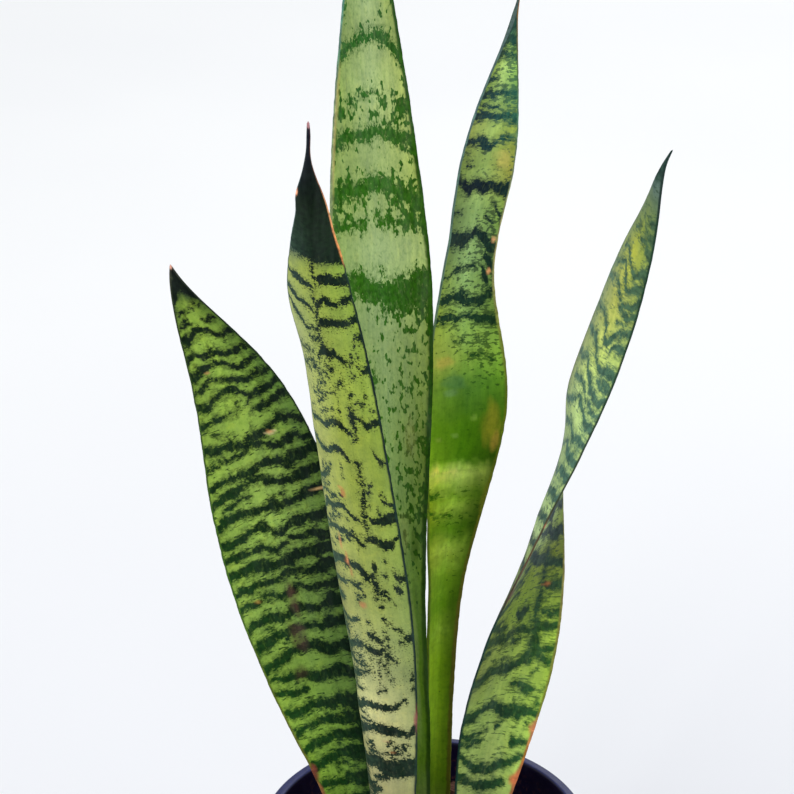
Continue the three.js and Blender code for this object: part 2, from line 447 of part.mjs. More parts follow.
// Lower a piece until its lowest point is just clear of the mix under it.
function settle(g, clear) {
  const p = g.attributes.position, x = g.index.array; let low = Infinity;
  const see = (v) => { low = Math.min(low, v.z - facetZ(v.x, v.y)); };
  for (let i = 0; i < x.length; i += 3) {
    const a = V().fromBufferAttribute(p, x[i]), b = V().fromBufferAttribute(p, x[i + 1]), c = V().fromBufferAttribute(p, x[i + 2]);
    for (let s = 0; s <= 4; s++) for (let t = 0; t <= 4 - s; t++) {
      see(V().addScaledVector(a, s / 4).addScaledVector(b, t / 4).addScaledVector(c, (4 - s - t) / 4));
    }
  }
  g.translate(0, 0, clear - low);
  return g;
}

function makeChip([x, y, len, wid, thick, turn, tilt, seed]) {
  const rand = rng(seed * 7919 + 17), seg = 9, pos = [], idx = [];
  const radii = []; for (let j = 0; j < seg; j++) radii.push(0.82 + 0.3 * rand());
  const layers = [[-0.5, 0.86], [-0.15, 1], [0.25, 0.97], [0.5, 0.78]];
  for (const [h, s] of layers) {
    for (let j = 0; j < seg; j++) {
      const a = (j / seg) * Math.PI * 2, q = radii[j] * s;
      pos.push(0.5 * len * q * Math.cos(a), 0.5 * wid * q * Math.sin(a), thick * h + 0.16 * thick * (rand() - 0.5));
    }
  }
  const bot = pos.length / 3; pos.push(0, 0, -0.5 * thick);
  const top = pos.length / 3; pos.push(0, 0, 0.56 * thick);
  for (let i = 0; i < layers.length - 1; i++) {
    for (let j = 0; j < seg; j++) {
      const k = (j + 1) % seg, a = i * seg, b = a + seg;
      idx.push(a + j, a + k, b + k, a + j, b + k, b + j);
    }
  }
  for (let j = 0; j < seg; j++) {
    const k = (j + 1) % seg, t = (layers.length - 1) * seg;
    idx.push(bot, k, j, top, t + j, t + k);
  }
  let g = geometryFrom(pos, idx);
  if (signedVolume(g) < 0) g = flipped(g);
  g.rotateY(THREE.MathUtils.degToRad(tilt));
  g.rotateZ(THREE.MathUtils.degToRad(turn));
  g.translate(x, y, 0);
  return settle(g, GAP + 0.25);
}

function makeBead([x, y, r]) {
  const g0 = new THREE.IcosahedronGeometry(r, 2), { pos, idx } = welded(g0);
  const g = geometryFrom(pos, idx);
  g.translate(x, y, 0);
  return settle(g, GAP + 0.1);
}

// ---------- assembly ----------
const group = new THREE.Group();
group.name = 'potted_snake_plant';
function add(name, geometry, color, roughness) {
  const mesh = new THREE.Mesh(geometry, new THREE.MeshStandardMaterial({ name, color, roughness, metalness: 0 }));
  mesh.name = name;
  group.add(mesh);
}

add('pot', makePot(), 0x1b2048, 0.35);
add('soil', makeSoil([LEAF_LEFT, LEAF_FRONT, LEAF_CENTER, LEAF_BACK_RIGHT, LEAF_RIGHT]), 0x2a1d1a, 0.95);
add('leaf_left', leafGeometry(LEAF_LEFT), 0x52702f, 0.5);
add('leaf_front', leafGeometry(LEAF_FRONT), 0x97a95a, 0.5);
add('leaf_center', leafGeometry(LEAF_CENTER), 0x86a567, 0.5);
add('leaf_back_right', leafGeometry(LEAF_BACK_RIGHT), 0x6f9236, 0.5);
add('leaf_right', leafGeometry(LEAF_RIGHT), 0x7f9651, 0.5);
CHIPS.forEach((c, i) => add('bark_chip_' + (i + 1), makeChip(c), 0x4a2c2a, 0.9));
BEADS.forEach((b, i) => add('feed_bead_' + (i + 1), makeBead(b), 0x3c8f93, 0.45));

export default group;
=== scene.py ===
"""Looks of the potted snake plant: leaves, pot, potting mix, bark and feed beads, in metres,
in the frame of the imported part."""
import math
import bpy
import bmesh
import numpy as np
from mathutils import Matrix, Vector


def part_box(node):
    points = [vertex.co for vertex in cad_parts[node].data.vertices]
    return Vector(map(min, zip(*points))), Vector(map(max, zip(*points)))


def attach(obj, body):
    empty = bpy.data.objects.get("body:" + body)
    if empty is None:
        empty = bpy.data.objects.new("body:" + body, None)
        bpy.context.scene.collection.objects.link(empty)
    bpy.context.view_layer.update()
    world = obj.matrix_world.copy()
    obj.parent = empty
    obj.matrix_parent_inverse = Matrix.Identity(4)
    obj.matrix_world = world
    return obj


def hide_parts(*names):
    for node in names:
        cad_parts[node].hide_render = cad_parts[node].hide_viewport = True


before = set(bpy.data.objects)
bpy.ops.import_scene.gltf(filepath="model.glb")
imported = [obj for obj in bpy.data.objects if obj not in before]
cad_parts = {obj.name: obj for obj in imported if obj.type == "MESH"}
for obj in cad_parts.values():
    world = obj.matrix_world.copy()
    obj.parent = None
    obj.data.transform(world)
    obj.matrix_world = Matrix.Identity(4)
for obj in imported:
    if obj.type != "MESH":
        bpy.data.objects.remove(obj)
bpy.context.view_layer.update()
MM = 0.001
scene = bpy.context.scene
TAU = 2 * math.pi
KEY_W, FILL_W, RIM_W, WORLD = 42.0, 16.0, 12.0, 0.62

# ---------------------------------------------------------------- leaf tables
# One row per cross-section from tip to buried base, in mm: left margin x y z,
# right margin x y z, channel depth, place of the deepest line, thickness.
LEAF_ROWS = {
    "leaf_left": [
        [-104.31, -14.01, 425.38, -103.56, -13.8, 425.57, 0.28, 0.5, 0.6],
        [-104.56, -13.97, 420.45, -101.2, -13.03, 421.3, 0.53, 0.5, 2.45],
        [-104.31, -13.93, 413.33, -97.02, -11.91, 415.19, 0.8, 0.5, 2.51],
        [-103.42, -13.95, 405.19, -91.41, -10.62, 408.24, 1.11, 0.5, 2.58],
        [-101.99, -14, 396.05, -84.99, -9.27, 400.92, 1.45, 0.5, 2.66],
        [-100.14, -14, 386.26, -78.06, -7.92, 393.05, 1.67, 0.5, 2.74],
        [-98.18, -14, 375.86, -70.93, -6.59, 384.48, 1.87, 0.5, 2.83],
        [-96.34, -14, 364.88, -64.04, -5.34, 374.99, 2.09, 0.5, 2.92],
        [-94.81, -14, 353.36, -57.75, -4.3, 364.51, 2.32, 0.5, 3.01],
        [-93.66, -14, 341.36, -52.09, -3.5, 353.11, 2.55, 0.5, 3.11],
        [-92.6, -14, 328.93, -47.2, -2.73, 340.9, 2.79, 0.5, 3.21],
        [-91.23, -14, 316.15, -42.95, -1.99, 328.03, 3.04, 0.5, 3.24],
        [-89.3, -14, 303.09, -39.21, -1.31, 314.6, 3.3, 0.5, 3.28],
        [-86.81, -14, 289.78, -35.92, -0.74, 300.68, 3.56, 0.5, 3.32],
        [-83.74, -14, 276.26, -33.03, -0.3, 286.33, 3.83, 0.5, 3.37],
        [-80.12, -14.02, 262.57, -30.46, -0.05, 271.59, 4.07, 0.5, 3.41],
        [-75.91, -14.18, 248.75, -28.12, -0.03, 256.51, 4.26, 0.5, 3.45],
        [-71.15, -14.44, 234.83, -25.89, -0.4, 241.12, 4.46, 0.5, 3.49],
        [-65.86, -14.79, 220.82, -23.67, -1.13, 225.46, 4.66, 0.5, 3.54],
        [-60.08, -15.16, 206.73, -21.42, -2.1, 209.55, 4.86, 0.5, 3.59],
        [-54.04, -15.54, 192.48, -19.27, -3.19, 193.38, 5.07, 0.5, 3.63],
        [-48.07, -15.88, 177.95, -17.39, -4.28, 176.92, 5.28, 0.5, 3.68],
        [-42.55, -16.16, 163.01, -15.98, -5.22, 160.17, 5.49, 0.5, 3.79],
        [-37.86, -16.44, 147.56, -15.2, -6.12, 143.14, 5.5, 0.5, 3.91],
        [-34.41, -16.72, 131.56, -15.25, -7.05, 125.87, 5.5, 0.5, 4.04],
        [-32.6, -17, 115.1, -16.36, -8, 108.42, 5.5, 0.5, 4.16],
    ],
    "leaf_front": [
        [-46.4, -62.1, 504.34, -45.5, -62.08, 504.36, -0.32, 0.5, 0.68],
        [-46.63, -61.66, 499.04, -45.23, -61.63, 499.07, -0.48, 0.5, 1.05],
        [-46.85, -61.15, 494.18, -45.4, -61.13, 494.22, -0.51, 0.49, 1.09],
        [-47.72, -60.39, 488.16, -45.03, -60.35, 488.22, -0.87, 0.49, 1.87],
        [-49.37, -59.14, 481.29, -43.16, -59.4, 481.41, -1.19, 0.49, 2.39],
        [-51.33, -56.92, 473.8, -40.64, -58.15, 474.02, -1.49, 0.48, 2.44],
        [-51.59, -54.19, 465.87, -38.57, -56.48, 466.05, -1.83, 0.47, 2.49],
        [-53.03, -50.81, 457.46, -36.76, -54.45, 457.49, -2.19, 0.47, 2.55],
        [-54.25, -47.22, 448.58, -34.48, -52.35, 448.38, -2.51, 0.46, 2.61],
        [-55.33, -43.56, 439.15, -32.37, -50.24, 438.71, -2.85, 0.45, 2.67],
        [-55.74, -40.11, 429.04, -30.37, -48.37, 428.5, -3.2, 0.44, 2.74],
        [-54.8, -37.33, 418.26, -27.95, -47.09, 417.74, -3.57, 0.43, 2.81],
        [-52.62, -34.96, 407.1, -25.6, -45.99, 406.51, -3.95, 0.42, 2.88],
        [-50.31, -32.72, 395.5, -23.34, -45.01, 394.82, -4.35, 0.4, 2.95],
        [-48.7, -30.62, 383.36, -21.19, -44.09, 382.7, -4.62, 0.37, 3.01],
        [-47.54, -28.71, 370.75, -19.15, -43.14, 370.19, -4.67, 0.35, 3.04],
        [-46.34, -27.02, 357.74, -17.19, -42.06, 357.31, -4.71, 0.33, 3.07],
        [-44.96, -25.6, 344.37, -15.26, -40.86, 344.08, -4.76, 0.32, 3.1],
        [-43.41, -24.36, 330.65, -13.3, -39.61, 330.52, -4.82, 0.31, 3.13],
        [-41.71, -23.25, 316.61, -11.3, -38.31, 316.64, -4.87, 0.3, 3.16],
        [-39.86, -22.26, 302.26, -9.36, -36.97, 302.44, -4.92, 0.29, 3.19],
        [-37.89, -21.35, 287.6, -7.58, -35.56, 287.91, -4.98, 0.28, 3.23],
        [-35.84, -20.49, 272.65, -6.1, -34.1, 273.05, -5.03, 0.28, 3.26],
        [-33.75, -19.65, 257.42, -5.01, -32.5, 257.88, -5.09, 0.27, 3.29],
        [-31.7, -18.73, 241.89, -4.29, -30.74, 242.43, -5.15, 0.27, 3.33],
        [-29.73, -17.82, 226.07, -3.9, -28.91, 226.69, -5.19, 0.26, 3.36],
        [-27.88, -16.99, 209.96, -3.78, -27.11, 210.68, -5.11, 0.27, 3.4],
        [-26.23, -16.35, 193.56, -3.9, -25.45, 194.38, -5.03, 0.27, 3.44],
        [-24.84, -16.02, 176.86, -4.22, -24.04, 177.81, -4.94, 0.28, 3.51],
        [-23.73, -16.07, 159.89, -4.68, -22.84, 160.98, -4.86, 0.28, 3.61],
        [-22.86, -16.42, 142.65, -5.23, -21.75, 143.89, -4.77, 0.29, 3.7],
        [-22.09, -17.06, 125.18, -5.81, -20.8, 126.55, -4.69, 0.29, 3.8],
        [-21.32, -18, 107.48, -6.35, -20, 108.96, -4.6, 0.3, 3.9],
    ],
    "leaf_center": [
        [-27.29, 29.75, 591.86, -26.44, 29.46, 591.91, 0.32, 0.5, 0.68],
        [-27.72, 28.62, 585.77, -26.4, 28.17, 585.84, 0.42, 0.5, 1.05],
        [-28.73, 27.25, 576.84, -25.27, 26.07, 577.04, 0.54, 0.5, 2.65],
        [-29.88, 25.84, 566.43, -23.25, 23.57, 566.82, 0.69, 0.5, 2.71],
        [-31.21, 24.13, 554.89, -20.54, 21.14, 555.58, 0.86, 0.5, 2.78],
        [-32.62, 22.32, 542.42, -17.62, 18.74, 543.42, 1.05, 0.5, 2.85],
        [-34.05, 20.43, 529.18, -14.79, 16.48, 530.38, 1.32, 0.5, 2.93],
        [-35.47, 18.44, 515.24, -12.19, 14.33, 516.55, 1.61, 0.5, 3.01],
        [-36.82, 16.26, 500.69, -9.77, 12.1, 502.06, 1.91, 0.5, 3.09],
        [-38.04, 13.95, 485.57, -7.48, 9.85, 486.98, 2.22, 0.5, 3.18],
        [-39.06, 11.6, 469.92, -5.24, 7.69, 471.33, 2.54, 0.5, 3.27],
        [-39.82, 9.32, 453.76, -3, 5.72, 455.17, 2.86, 0.5, 3.36],
        [-40.25, 7.22, 437.1, -0.82, 4.04, 438.51, 3.2, 0.5, 3.42],
        [-40.29, 5.4, 419.98, 0.95, 2.77, 421.33, 3.54, 0.5, 3.46],
        [-39.87, 3.99, 402.41, 2.03, 2, 403.66, 3.79, 0.5, 3.49],
        [-39.02, 2.8, 384.47, 2.43, 1.55, 385.56, 4.05, 0.5, 3.53],
        [-37.77, 1.64, 366.18, 2.31, 1.14, 367.09, 4.31, 0.5, 3.57],
        [-36.19, 0.56, 347.56, 1.83, 0.78, 348.28, 4.58, 0.5, 3.61],
        [-34.35, -0.4, 328.62, 1.15, 0.48, 329.13, 4.86, 0.5, 3.64],
        [-32.31, -1.17, 309.37, 0.46, 0.25, 309.67, 5.13, 0.5, 3.68],
        [-30.16, -1.72, 289.82, -0.07, 0.09, 289.88, 5.42, 0.5, 3.72],
        [-27.97, -1.98, 269.96, -0.24, 0.01, 269.79, 5.7, 0.5, 3.77],
        [-25.81, -1.94, 249.82, 0.1, 0.18, 249.42, 6, 0.5, 3.81],
        [-23.73, -1.67, 229.38, 0.82, 1.02, 228.79, 5.93, 0.5, 3.85],
        [-21.82, -1.23, 208.66, 1.61, 2.18, 207.91, 5.86, 0.5, 3.89],
        [-20.12, -0.7, 187.66, 2.15, 3.28, 186.75, 5.79, 0.5, 3.97],
        [-18.7, -0.14, 166.39, 2.29, 3.95, 165.31, 5.72, 0.5, 4.08],
        [-17.64, 0.45, 144.84, 2.13, 4, 143.61, 5.65, 0.5, 4.19],
        [-17.01, 1.18, 123.05, 1.86, 4, 121.67, 5.57, 0.5, 4.31],
        [-16.86, 2, 101.01, 1.62, 4, 99.5, 5.5, 0.5, 4.42],
    ],
    "leaf_back_right": [
        [39.25, 79.73, 515.78, 39.72, 80.37, 515.68, 0.27, 0.5, 0.6],
        [39.01, 79.71, 512.66, 39.52, 80.41, 512.55, 0.31, 0.5, 0.66],
        [38.44, 79.71, 507.46, 39.12, 80.64, 507.31, 0.4, 0.5, 0.87],
        [37.12, 79.21, 501.13, 38.59, 81.21, 500.82, 0.88, 0.5, 1.88],
        [34.56, 77.9, 494.12, 38.62, 82.22, 493.2, 1.21, 0.5, 2.39],
        [31.18, 76.29, 486.5, 38.86, 83.09, 484.72, 1.56, 0.5, 2.44],
        [27.53, 74.66, 478.24, 39.18, 83.67, 475.5, 1.94, 0.5, 2.49],
        [23.86, 72.95, 469.32, 39.51, 83.97, 465.63, 2.12, 0.5, 2.55],
        [20.28, 70.99, 459.75, 39.71, 84, 455.13, 2.27, 0.5, 2.61],
        [17.09, 68.63, 449.55, 39.53, 84, 444.07, 2.43, 0.5, 2.67],
        [14.44, 65.88, 438.74, 38.61, 84, 432.52, 2.59, 0.5, 2.74],
        [12.43, 62.91, 427.34, 36.64, 83.85, 420.59, 2.77, 0.5, 2.81],
        [10.97, 59.88, 415.39, 33.96, 83.14, 408.34, 2.95, 0.5, 2.88],
        [9.14, 56.64, 403.09, 31.4, 81.81, 395.66, 3.13, 0.5, 2.95],
        [6.67, 53.23, 390.49, 30.04, 74.45, 384.76, 3.32, 0.5, 3.01],
        [4.17, 49.71, 377.51, 30.84, 65.58, 374.28, 3.52, 0.5, 3.04],
        [2.18, 46.14, 364.04, 33.12, 59.62, 361.55, 3.73, 0.5, 3.07],
        [0.93, 42.61, 350.09, 35.28, 54.45, 348.06, 3.94, 0.5, 3.1],
        [0.33, 39.23, 335.69, 35.84, 49.9, 333.81, 4.15, 0.5, 3.13],
        [0.21, 35.8, 320.93, 33.94, 45.76, 319.17, 4.37, 0.5, 3.16],
        [0.42, 32.31, 305.83, 30.36, 41.93, 304.4, 4.5, 0.5, 3.19],
        [0.75, 28.93, 290.37, 26.17, 38.4, 289.35, 4.5, 0.5, 3.23],
        [1, 25.83, 274.53, 22, 35.16, 273.89, 4.5, 0.5, 3.26],
        [1.13, 23.2, 258.29, 18.16, 32.21, 257.96, 4.5, 0.5, 3.29],
        [1.15, 21.12, 241.66, 15.65, 29.55, 241.4, 4.5, 0.5, 3.33],
        [1.09, 19.1, 224.72, 14.23, 27.1, 224.38, 4.5, 0.5, 3.36],
        [0.96, 17.19, 207.48, 13.24, 24.84, 207, 4.5, 0.5, 3.4],
        [0.8, 15.59, 189.93, 12.54, 22.79, 189.29, 4.43, 0.5, 3.44],
        [0.63, 14.48, 172.06, 12.07, 20.97, 171.27, 4.34, 0.5, 3.51],
        [0.48, 14.01, 153.89, 11.76, 19.38, 152.95, 4.26, 0.5, 3.61],
        [0.37, 14, 135.45, 11.53, 18.04, 134.34, 4.17, 0.5, 3.7],
        [0.31, 14, 116.75, 11.33, 16.91, 115.45, 4.01, 0.5, 3.8],
        [0.33, 14, 97.8, 11.09, 16, 96.29, 3.86, 0.5, 3.9],
    ],
    "leaf_right": [
        [99.15, 13.63, 464.09, 98.86, 14.37, 464.22, 0.28, 0.5, 0.6],
        [97.06, 13.22, 458.58, 96.34, 15.13, 458.92, 0.44, 0.5, 1.55],
        [95.83, 11.87, 452.49, 94, 16.67, 453.34, 0.59, 0.5, 2.33],
        [94.98, 10.09, 445.2, 91.79, 18.48, 446.69, 0.77, 0.5, 2.38],
        [94.25, 8.11, 437.19, 89.28, 20.17, 439.2, 0.96, 0.5, 2.43],
        [93.19, 6.01, 428.59, 86.04, 21.44, 431.22, 1.17, 0.5, 2.49],
        [91.68, 3.74, 419.56, 82.29, 21.99, 422.8, 1.31, 0.5, 2.55],
        [89.72, 1.34, 410.14, 78.64, 22, 413.79, 1.44, 0.5, 2.62],
        [87.31, -0.86, 400.31, 75.33, 22, 404.2, 1.58, 0.5, 2.69],
        [84.46, -2.79, 390.13, 72.15, 22, 394.16, 1.72, 0.5, 2.76],
        [81.13, -4.64, 379.69, 68.84, 22, 383.78, 1.86, 0.5, 2.83],
        [77.29, -6.62, 369.08, 65.27, 22, 373.15, 1.95, 0.5, 2.91],
        [72.93, -9.03, 358.42, 61.97, 22, 362.09, 1.42, 0.5, 2.99],
        [67.99, -12.36, 347.92, 59.86, 22, 350.47, 0.87, 0.5, 3.02],
        [62.65, -15.72, 337.31, 60.12, 21.87, 338.4, 0.66, 0.5, 3.05],
        [57.12, -17.93, 326.19, 59.86, 21.38, 326.07, 1.25, 0.5, 3.08],
        [51.58, -19.01, 314.62, 59.44, 20.6, 313.49, 2.5, 0.5, 3.11],
        [46.59, -18.94, 302.6, 59.59, 18.38, 300.76, 3.8, 0.5, 3.14],
        [41.63, -19.53, 290.19, 60.17, 16.56, 287.89, 4.51, 0.5, 3.18],
        [36.44, -18.44, 277.68, 60.61, 14.19, 274.88, 5.24, 0.5, 3.21],
        [31.65, -15.94, 264.99, 60.38, 11.52, 261.63, 6.77, 0.5, 3.24],
        [27.43, -13.3, 251.9, 59.53, 8.76, 248.22, 7.6, 0.5, 3.27],
        [23.73, -11.24, 238.35, 57.92, 6.27, 234.63, 7.51, 0.5, 3.31],
        [20.33, -9.29, 224.49, 55.38, 4.02, 220.94, 7, 0.5, 3.34],
        [17.38, -7.34, 210.34, 51.96, 1.73, 207.25, 6.68, 0.5, 3.38],
        [15.1, -5.53, 195.86, 48, -0.34, 193.49, 6.36, 0.5, 3.41],
        [13.75, -4.05, 181.05, 43.83, -1.96, 179.54, 6.03, 0.5, 3.45],
        [13.33, -3.1, 165.97, 39.78, -2.92, 165.33, 5.82, 0.5, 3.53],
        [13.64, -2.67, 150.68, 36.09, -3.34, 150.81, 5.62, 0.5, 3.62],
        [14.41, -2.32, 135.25, 32.95, -3.68, 136, 5.41, 0.5, 3.71],
        [15.37, -2.09, 119.66, 30.64, -3.91, 120.88, 5.21, 0.5, 3.81],
        [16.23, -2, 103.91, 29.48, -4, 105.47, 4.72, 0.5, 3.9],
    ],
}

# ---------------------------------------------------------------- small maths
def srgb(r, g, b):
    """0-255 colour to linear."""
    c = np.array([r, g, b], float) / 255
    return np.where(c <= 0.04045, c / 12.92, ((c + 0.055) / 1.055) ** 2.4)


def smooth(x, a, b):
    t = np.clip((x - a) / (b - a), 0, 1)
    return t * t * (3 - 2 * t)


def hash3(i, j, k, seed):
    n = (i * 374761393 + j * 668265263 + k * 2147483647 + seed * 144665) & 0xFFFFFFFF
    n = ((n ^ (n >> 13)) * 1274126177) & 0xFFFFFFFF
    return ((n ^ (n >> 16)) & 0xFFFFFFFF) / 4294967295.0


def vnoise(x, y, z=0.0, seed=0):
    """Smooth value noise, -1..1, on arrays."""
    x, y, z = np.broadcast_arrays(np.asarray(x, float), np.asarray(y, float), np.asarray(z, float))
    xi, yi, zi = np.floor(x).astype(np.int64), np.floor(y).astype(np.int64), np.floor(z).astype(np.int64)
    fx, fy, fz = x - xi, y - yi, z - zi
    fx, fy, fz = [f * f * f * (f * (f * 6 - 15) + 10) for f in (fx, fy, fz)]
    out = 0
    for a in (0, 1):
        for b in (0, 1):
            for c in (0, 1):
                w = (fx if a else 1 - fx) * (fy if b else 1 - fy) * (fz if c else 1 - fz)
                out = out + w * hash3(xi + a, yi + b, zi + c, seed)
    return out * 2 - 1


def fbm(x, y, z=0.0, seed=0, octaves=4, gain=0.5):
    total, amp, f = 0, 1.0, 1.0
    for o in range(octaves):
        total = total + amp * vnoise(x * f, y * f, np.asarray(z) * f, seed + 17 * o)
        amp *= gain
        f *= 2.03
    return total


def natural_spline(s, y, q):
    """Natural cubic spline through rows y at s, read at q."""
    s, y = np.asarray(s, float), np.asarray(y, float)
    n = len(s)
    h = np.diff(s)
    A = np.zeros((n, n))
    B = np.zeros((n, y.shape[1]))
    A[0, 0] = A[-1, -1] = 1
    for i in range(1, n - 1):
        A[i, i - 1], A[i, i], A[i, i + 1] = h[i - 1], 2 * (h[i - 1] + h[i]), h[i]
        B[i] = 6 * ((y[i + 1] - y[i]) / h[i] - (y[i] - y[i - 1]) / h[i - 1])
    m = np.linalg.solve(A, B)
    k = np.clip(np.searchsorted(s, q, side="right") - 1, 0, n - 2)
    a, b, hk = (s[k + 1] - q)[:, None], (q - s[k])[:, None], h[k][:, None]
    return (m[k] * a ** 3 + m[k + 1] * b ** 3) / (6 * hk) + (y[k] / hk - m[k] * hk / 6) * a + (y[k + 1] / hk - m[k + 1] * hk / 6) * b


def new_object(name, verts, faces, smooth_shade=True):
    me = bpy.data.meshes.new(name)
    me.from_pydata([tuple(v) for v in verts], [], [tuple(int(i) for i in f) for f in faces])
    me.validate()
    me.update()
    if smooth_shade:
        me.polygons.foreach_set("use_smooth", [True] * len(me.polygons))
    ob = bpy.data.objects.new(name, me)
    scene.collection.objects.link(ob)
    return ob


def put(ob, name, kind, values):
    """A vertex attribute from an array."""
    a = ob.data.attributes.new(name, kind, "POINT")
    if kind == "FLOAT":
        a.data.foreach_set("value", np.ascontiguousarray(values, dtype=np.float32).ravel())
    elif kind == "FLOAT_VECTOR":
        a.data.foreach_set("vector", np.ascontiguousarray(values, dtype=np.float32).ravel())
    elif kind == "FLOAT_COLOR":
        v = np.ascontiguousarray(np.c_[values, np.ones(len(values))], dtype=np.float32)
        a.data.foreach_set("color", v.ravel())


# ---------------------------------------------------------------- node helper
class Nodes:
    def __init__(self, name):
        self.mat = bpy.data.materials.new(name)
        self.mat.use_nodes = True
        self.t = self.mat.node_tree
        self.t.nodes.clear()
        self.out = self.t.nodes.new("ShaderNodeOutputMaterial")
        self.bsdf = self.t.nodes.new("ShaderNodeBsdfPrincipled")
        self.t.links.new(self.bsdf.outputs[0], self.out.inputs[0])

    def n(self, kind, **props):
        x = self.t.nodes.new(kind)
        for k, v in props.items():
            setattr(x, k, v)
        return x

    def link(self, a, b):
        self.t.links.new(a, b)

    def attr(self, name, out="Fac"):
        x = self.n("ShaderNodeAttribute", attribute_name=name, attribute_type="GEOMETRY")
        return x.outputs[out]

    def scaled(self, vec, s, off=(0, 0, 0)):
        x = self.n("ShaderNodeMapping")
        x.inputs["Scale"].default_value = s
        x.inputs["Location"].default_value = off
        self.link(vec, x.inputs["Vector"])
        return x.outputs[0]

    def noise(self, vec, scale=1.0, detail=2.0, rough=0.5, dist=0.0):
        x = self.n("ShaderNodeTexNoise")
        x.inputs["Scale"].default_value = scale
        x.inputs["Detail"].default_value = detail
        x.inputs["Roughness"].default_value = rough
        x.inputs["Distortion"].default_value = dist
        self.link(vec, x.inputs["Vector"])
        return x.outputs["Fac"]

    def math(self, op, a, b=None, c=None, clamp=False):
        x = self.n("ShaderNodeMath", operation=op, use_clamp=clamp)
        for i, v in enumerate((a, b, c)):
            if v is None:
                continue
            if isinstance(v, (int, float)):
                x.inputs[i].default_value = v
            else:
                self.link(v, x.inputs[i])
        return x.outputs[0]

    def range(self, v, a, b, lo=0.0, hi=1.0, kind="SMOOTHSTEP"):
        x = self.n("ShaderNodeMapRange", interpolation_type=kind)
        for i, w in zip(("From Min", "From Max", "To Min", "To Max"), (a, b, lo, hi)):
            x.inputs[i].default_value = w
        self.link(v, x.inputs["Value"])
        return x.outputs[0]

    def mix(self, f, a, b, blend="MIX"):
        x = self.n("ShaderNodeMix", data_type="RGBA", blend_type=blend)
        for i, v in ((0, f), (6, a), (7, b)):
            if isinstance(v, (int, float)):
                x.inputs[i].default_value = v
            elif isinstance(v, (tuple, list, np.ndarray)):
                x.inputs[i].default_value = (*[float(q) for q in v][:3], 1)
            else:
                self.link(v, x.inputs[i])
        return x.outputs[2]

    def bump(self, height, strength, distance, normal=None):
        x = self.n("ShaderNodeBump")
        x.inputs["Strength"].default_value = strength
        x.inputs["Distance"].default_value = distance
        self.link(height, x.inputs["Height"])
        if normal is not None:
            self.link(normal, x.inputs["Normal"])
        return x.outputs[0]


# ---------------------------------------------------------------- leaves
def bend(u, c):
    return np.where(u < c, np.sin(np.pi / 2 * (u / c)), np.cos(np.pi / 2 * ((u - c) / (1 - c))))


def bend_slope(u, c):
    return np.where(u < c, (np.pi / 2 / c) * np.cos(np.pi / 2 * (u / c)), -(np.pi / 2 / (1 - c)) * np.sin(np.pi / 2 * ((u - c) / (1 - c))))


def strokes(text):
    """Rows of 'u:v:halfwidth ...' (v in mm from the tip)."""
    out = []
    for line in text.strip().splitlines():
        line = line.split("#")[0].strip()
        if line:
            out.append(np.array([[float(q) for q in p.split(":")] for p in line.split()]))
    return out


def band_field(u, v, across, bands, lines, fat=1.0):
    """Signed distance-like field in mm: positive inside a dark band."""
    best = np.full(u.shape, -9.0)
    for b in bands:
        b = b[np.argsort(b[:, 0])]
        lo, hi = b[0, 0], b[-1, 0]
        vs = np.interp(u, b[:, 0], b[:, 1])
        ws = np.interp(u, b[:, 0], b[:, 2]) * fat
        fe = min(0.035, 0.25 * (hi - lo))
        end = np.minimum(smooth(u, lo - fe, lo + fe) if lo > 0.03 else 1.0, 1 - smooth(u, hi - fe, hi + fe) if hi < 0.97 else 1.0)
        f = ws * end - np.abs(v - vs) - 4.0 * (1 - end)
        best = np.maximum(best, f)
    for b in lines:
        # rows of v:u:halfwidth in mm running along the leaf
        b = b[np.argsort(b[:, 0])]
        lo, hi = b[0, 0], b[-1, 0]
        us = np.interp(v, b[:, 0], b[:, 1])
        ws = np.interp(v, b[:, 0], b[:, 2])
        end = np.minimum(smooth(v, lo - 2.5, lo + 1.5), 1 - smooth(v, hi - 1.5, hi + 2.5))
        f = ws * end - np.abs(u - us) * across - 4.0 * (1 - end)
        best = np.maximum(best, f)
    return best


def ramp3(u, v, stops):
    """Colour over the leaf from rows (v, left, middle, right) of 0-255 colours."""
    vs = np.array([s[0] for s in stops], float)
    cols = [np.array([srgb(*s[k]) for s in stops]) for k in (1, 2, 3)]
    c = [np.stack([np.interp(v, vs, col[:, ch]) for ch in range(3)], -1) for col in cols]
    a = np.clip(1 - 2 * u, 0, 1)[..., None]
    b = np.clip(2 * u - 1, 0, 1)[..., None]
    return c[0] * a + c[2] * b + c[1] * (1 - a - b)


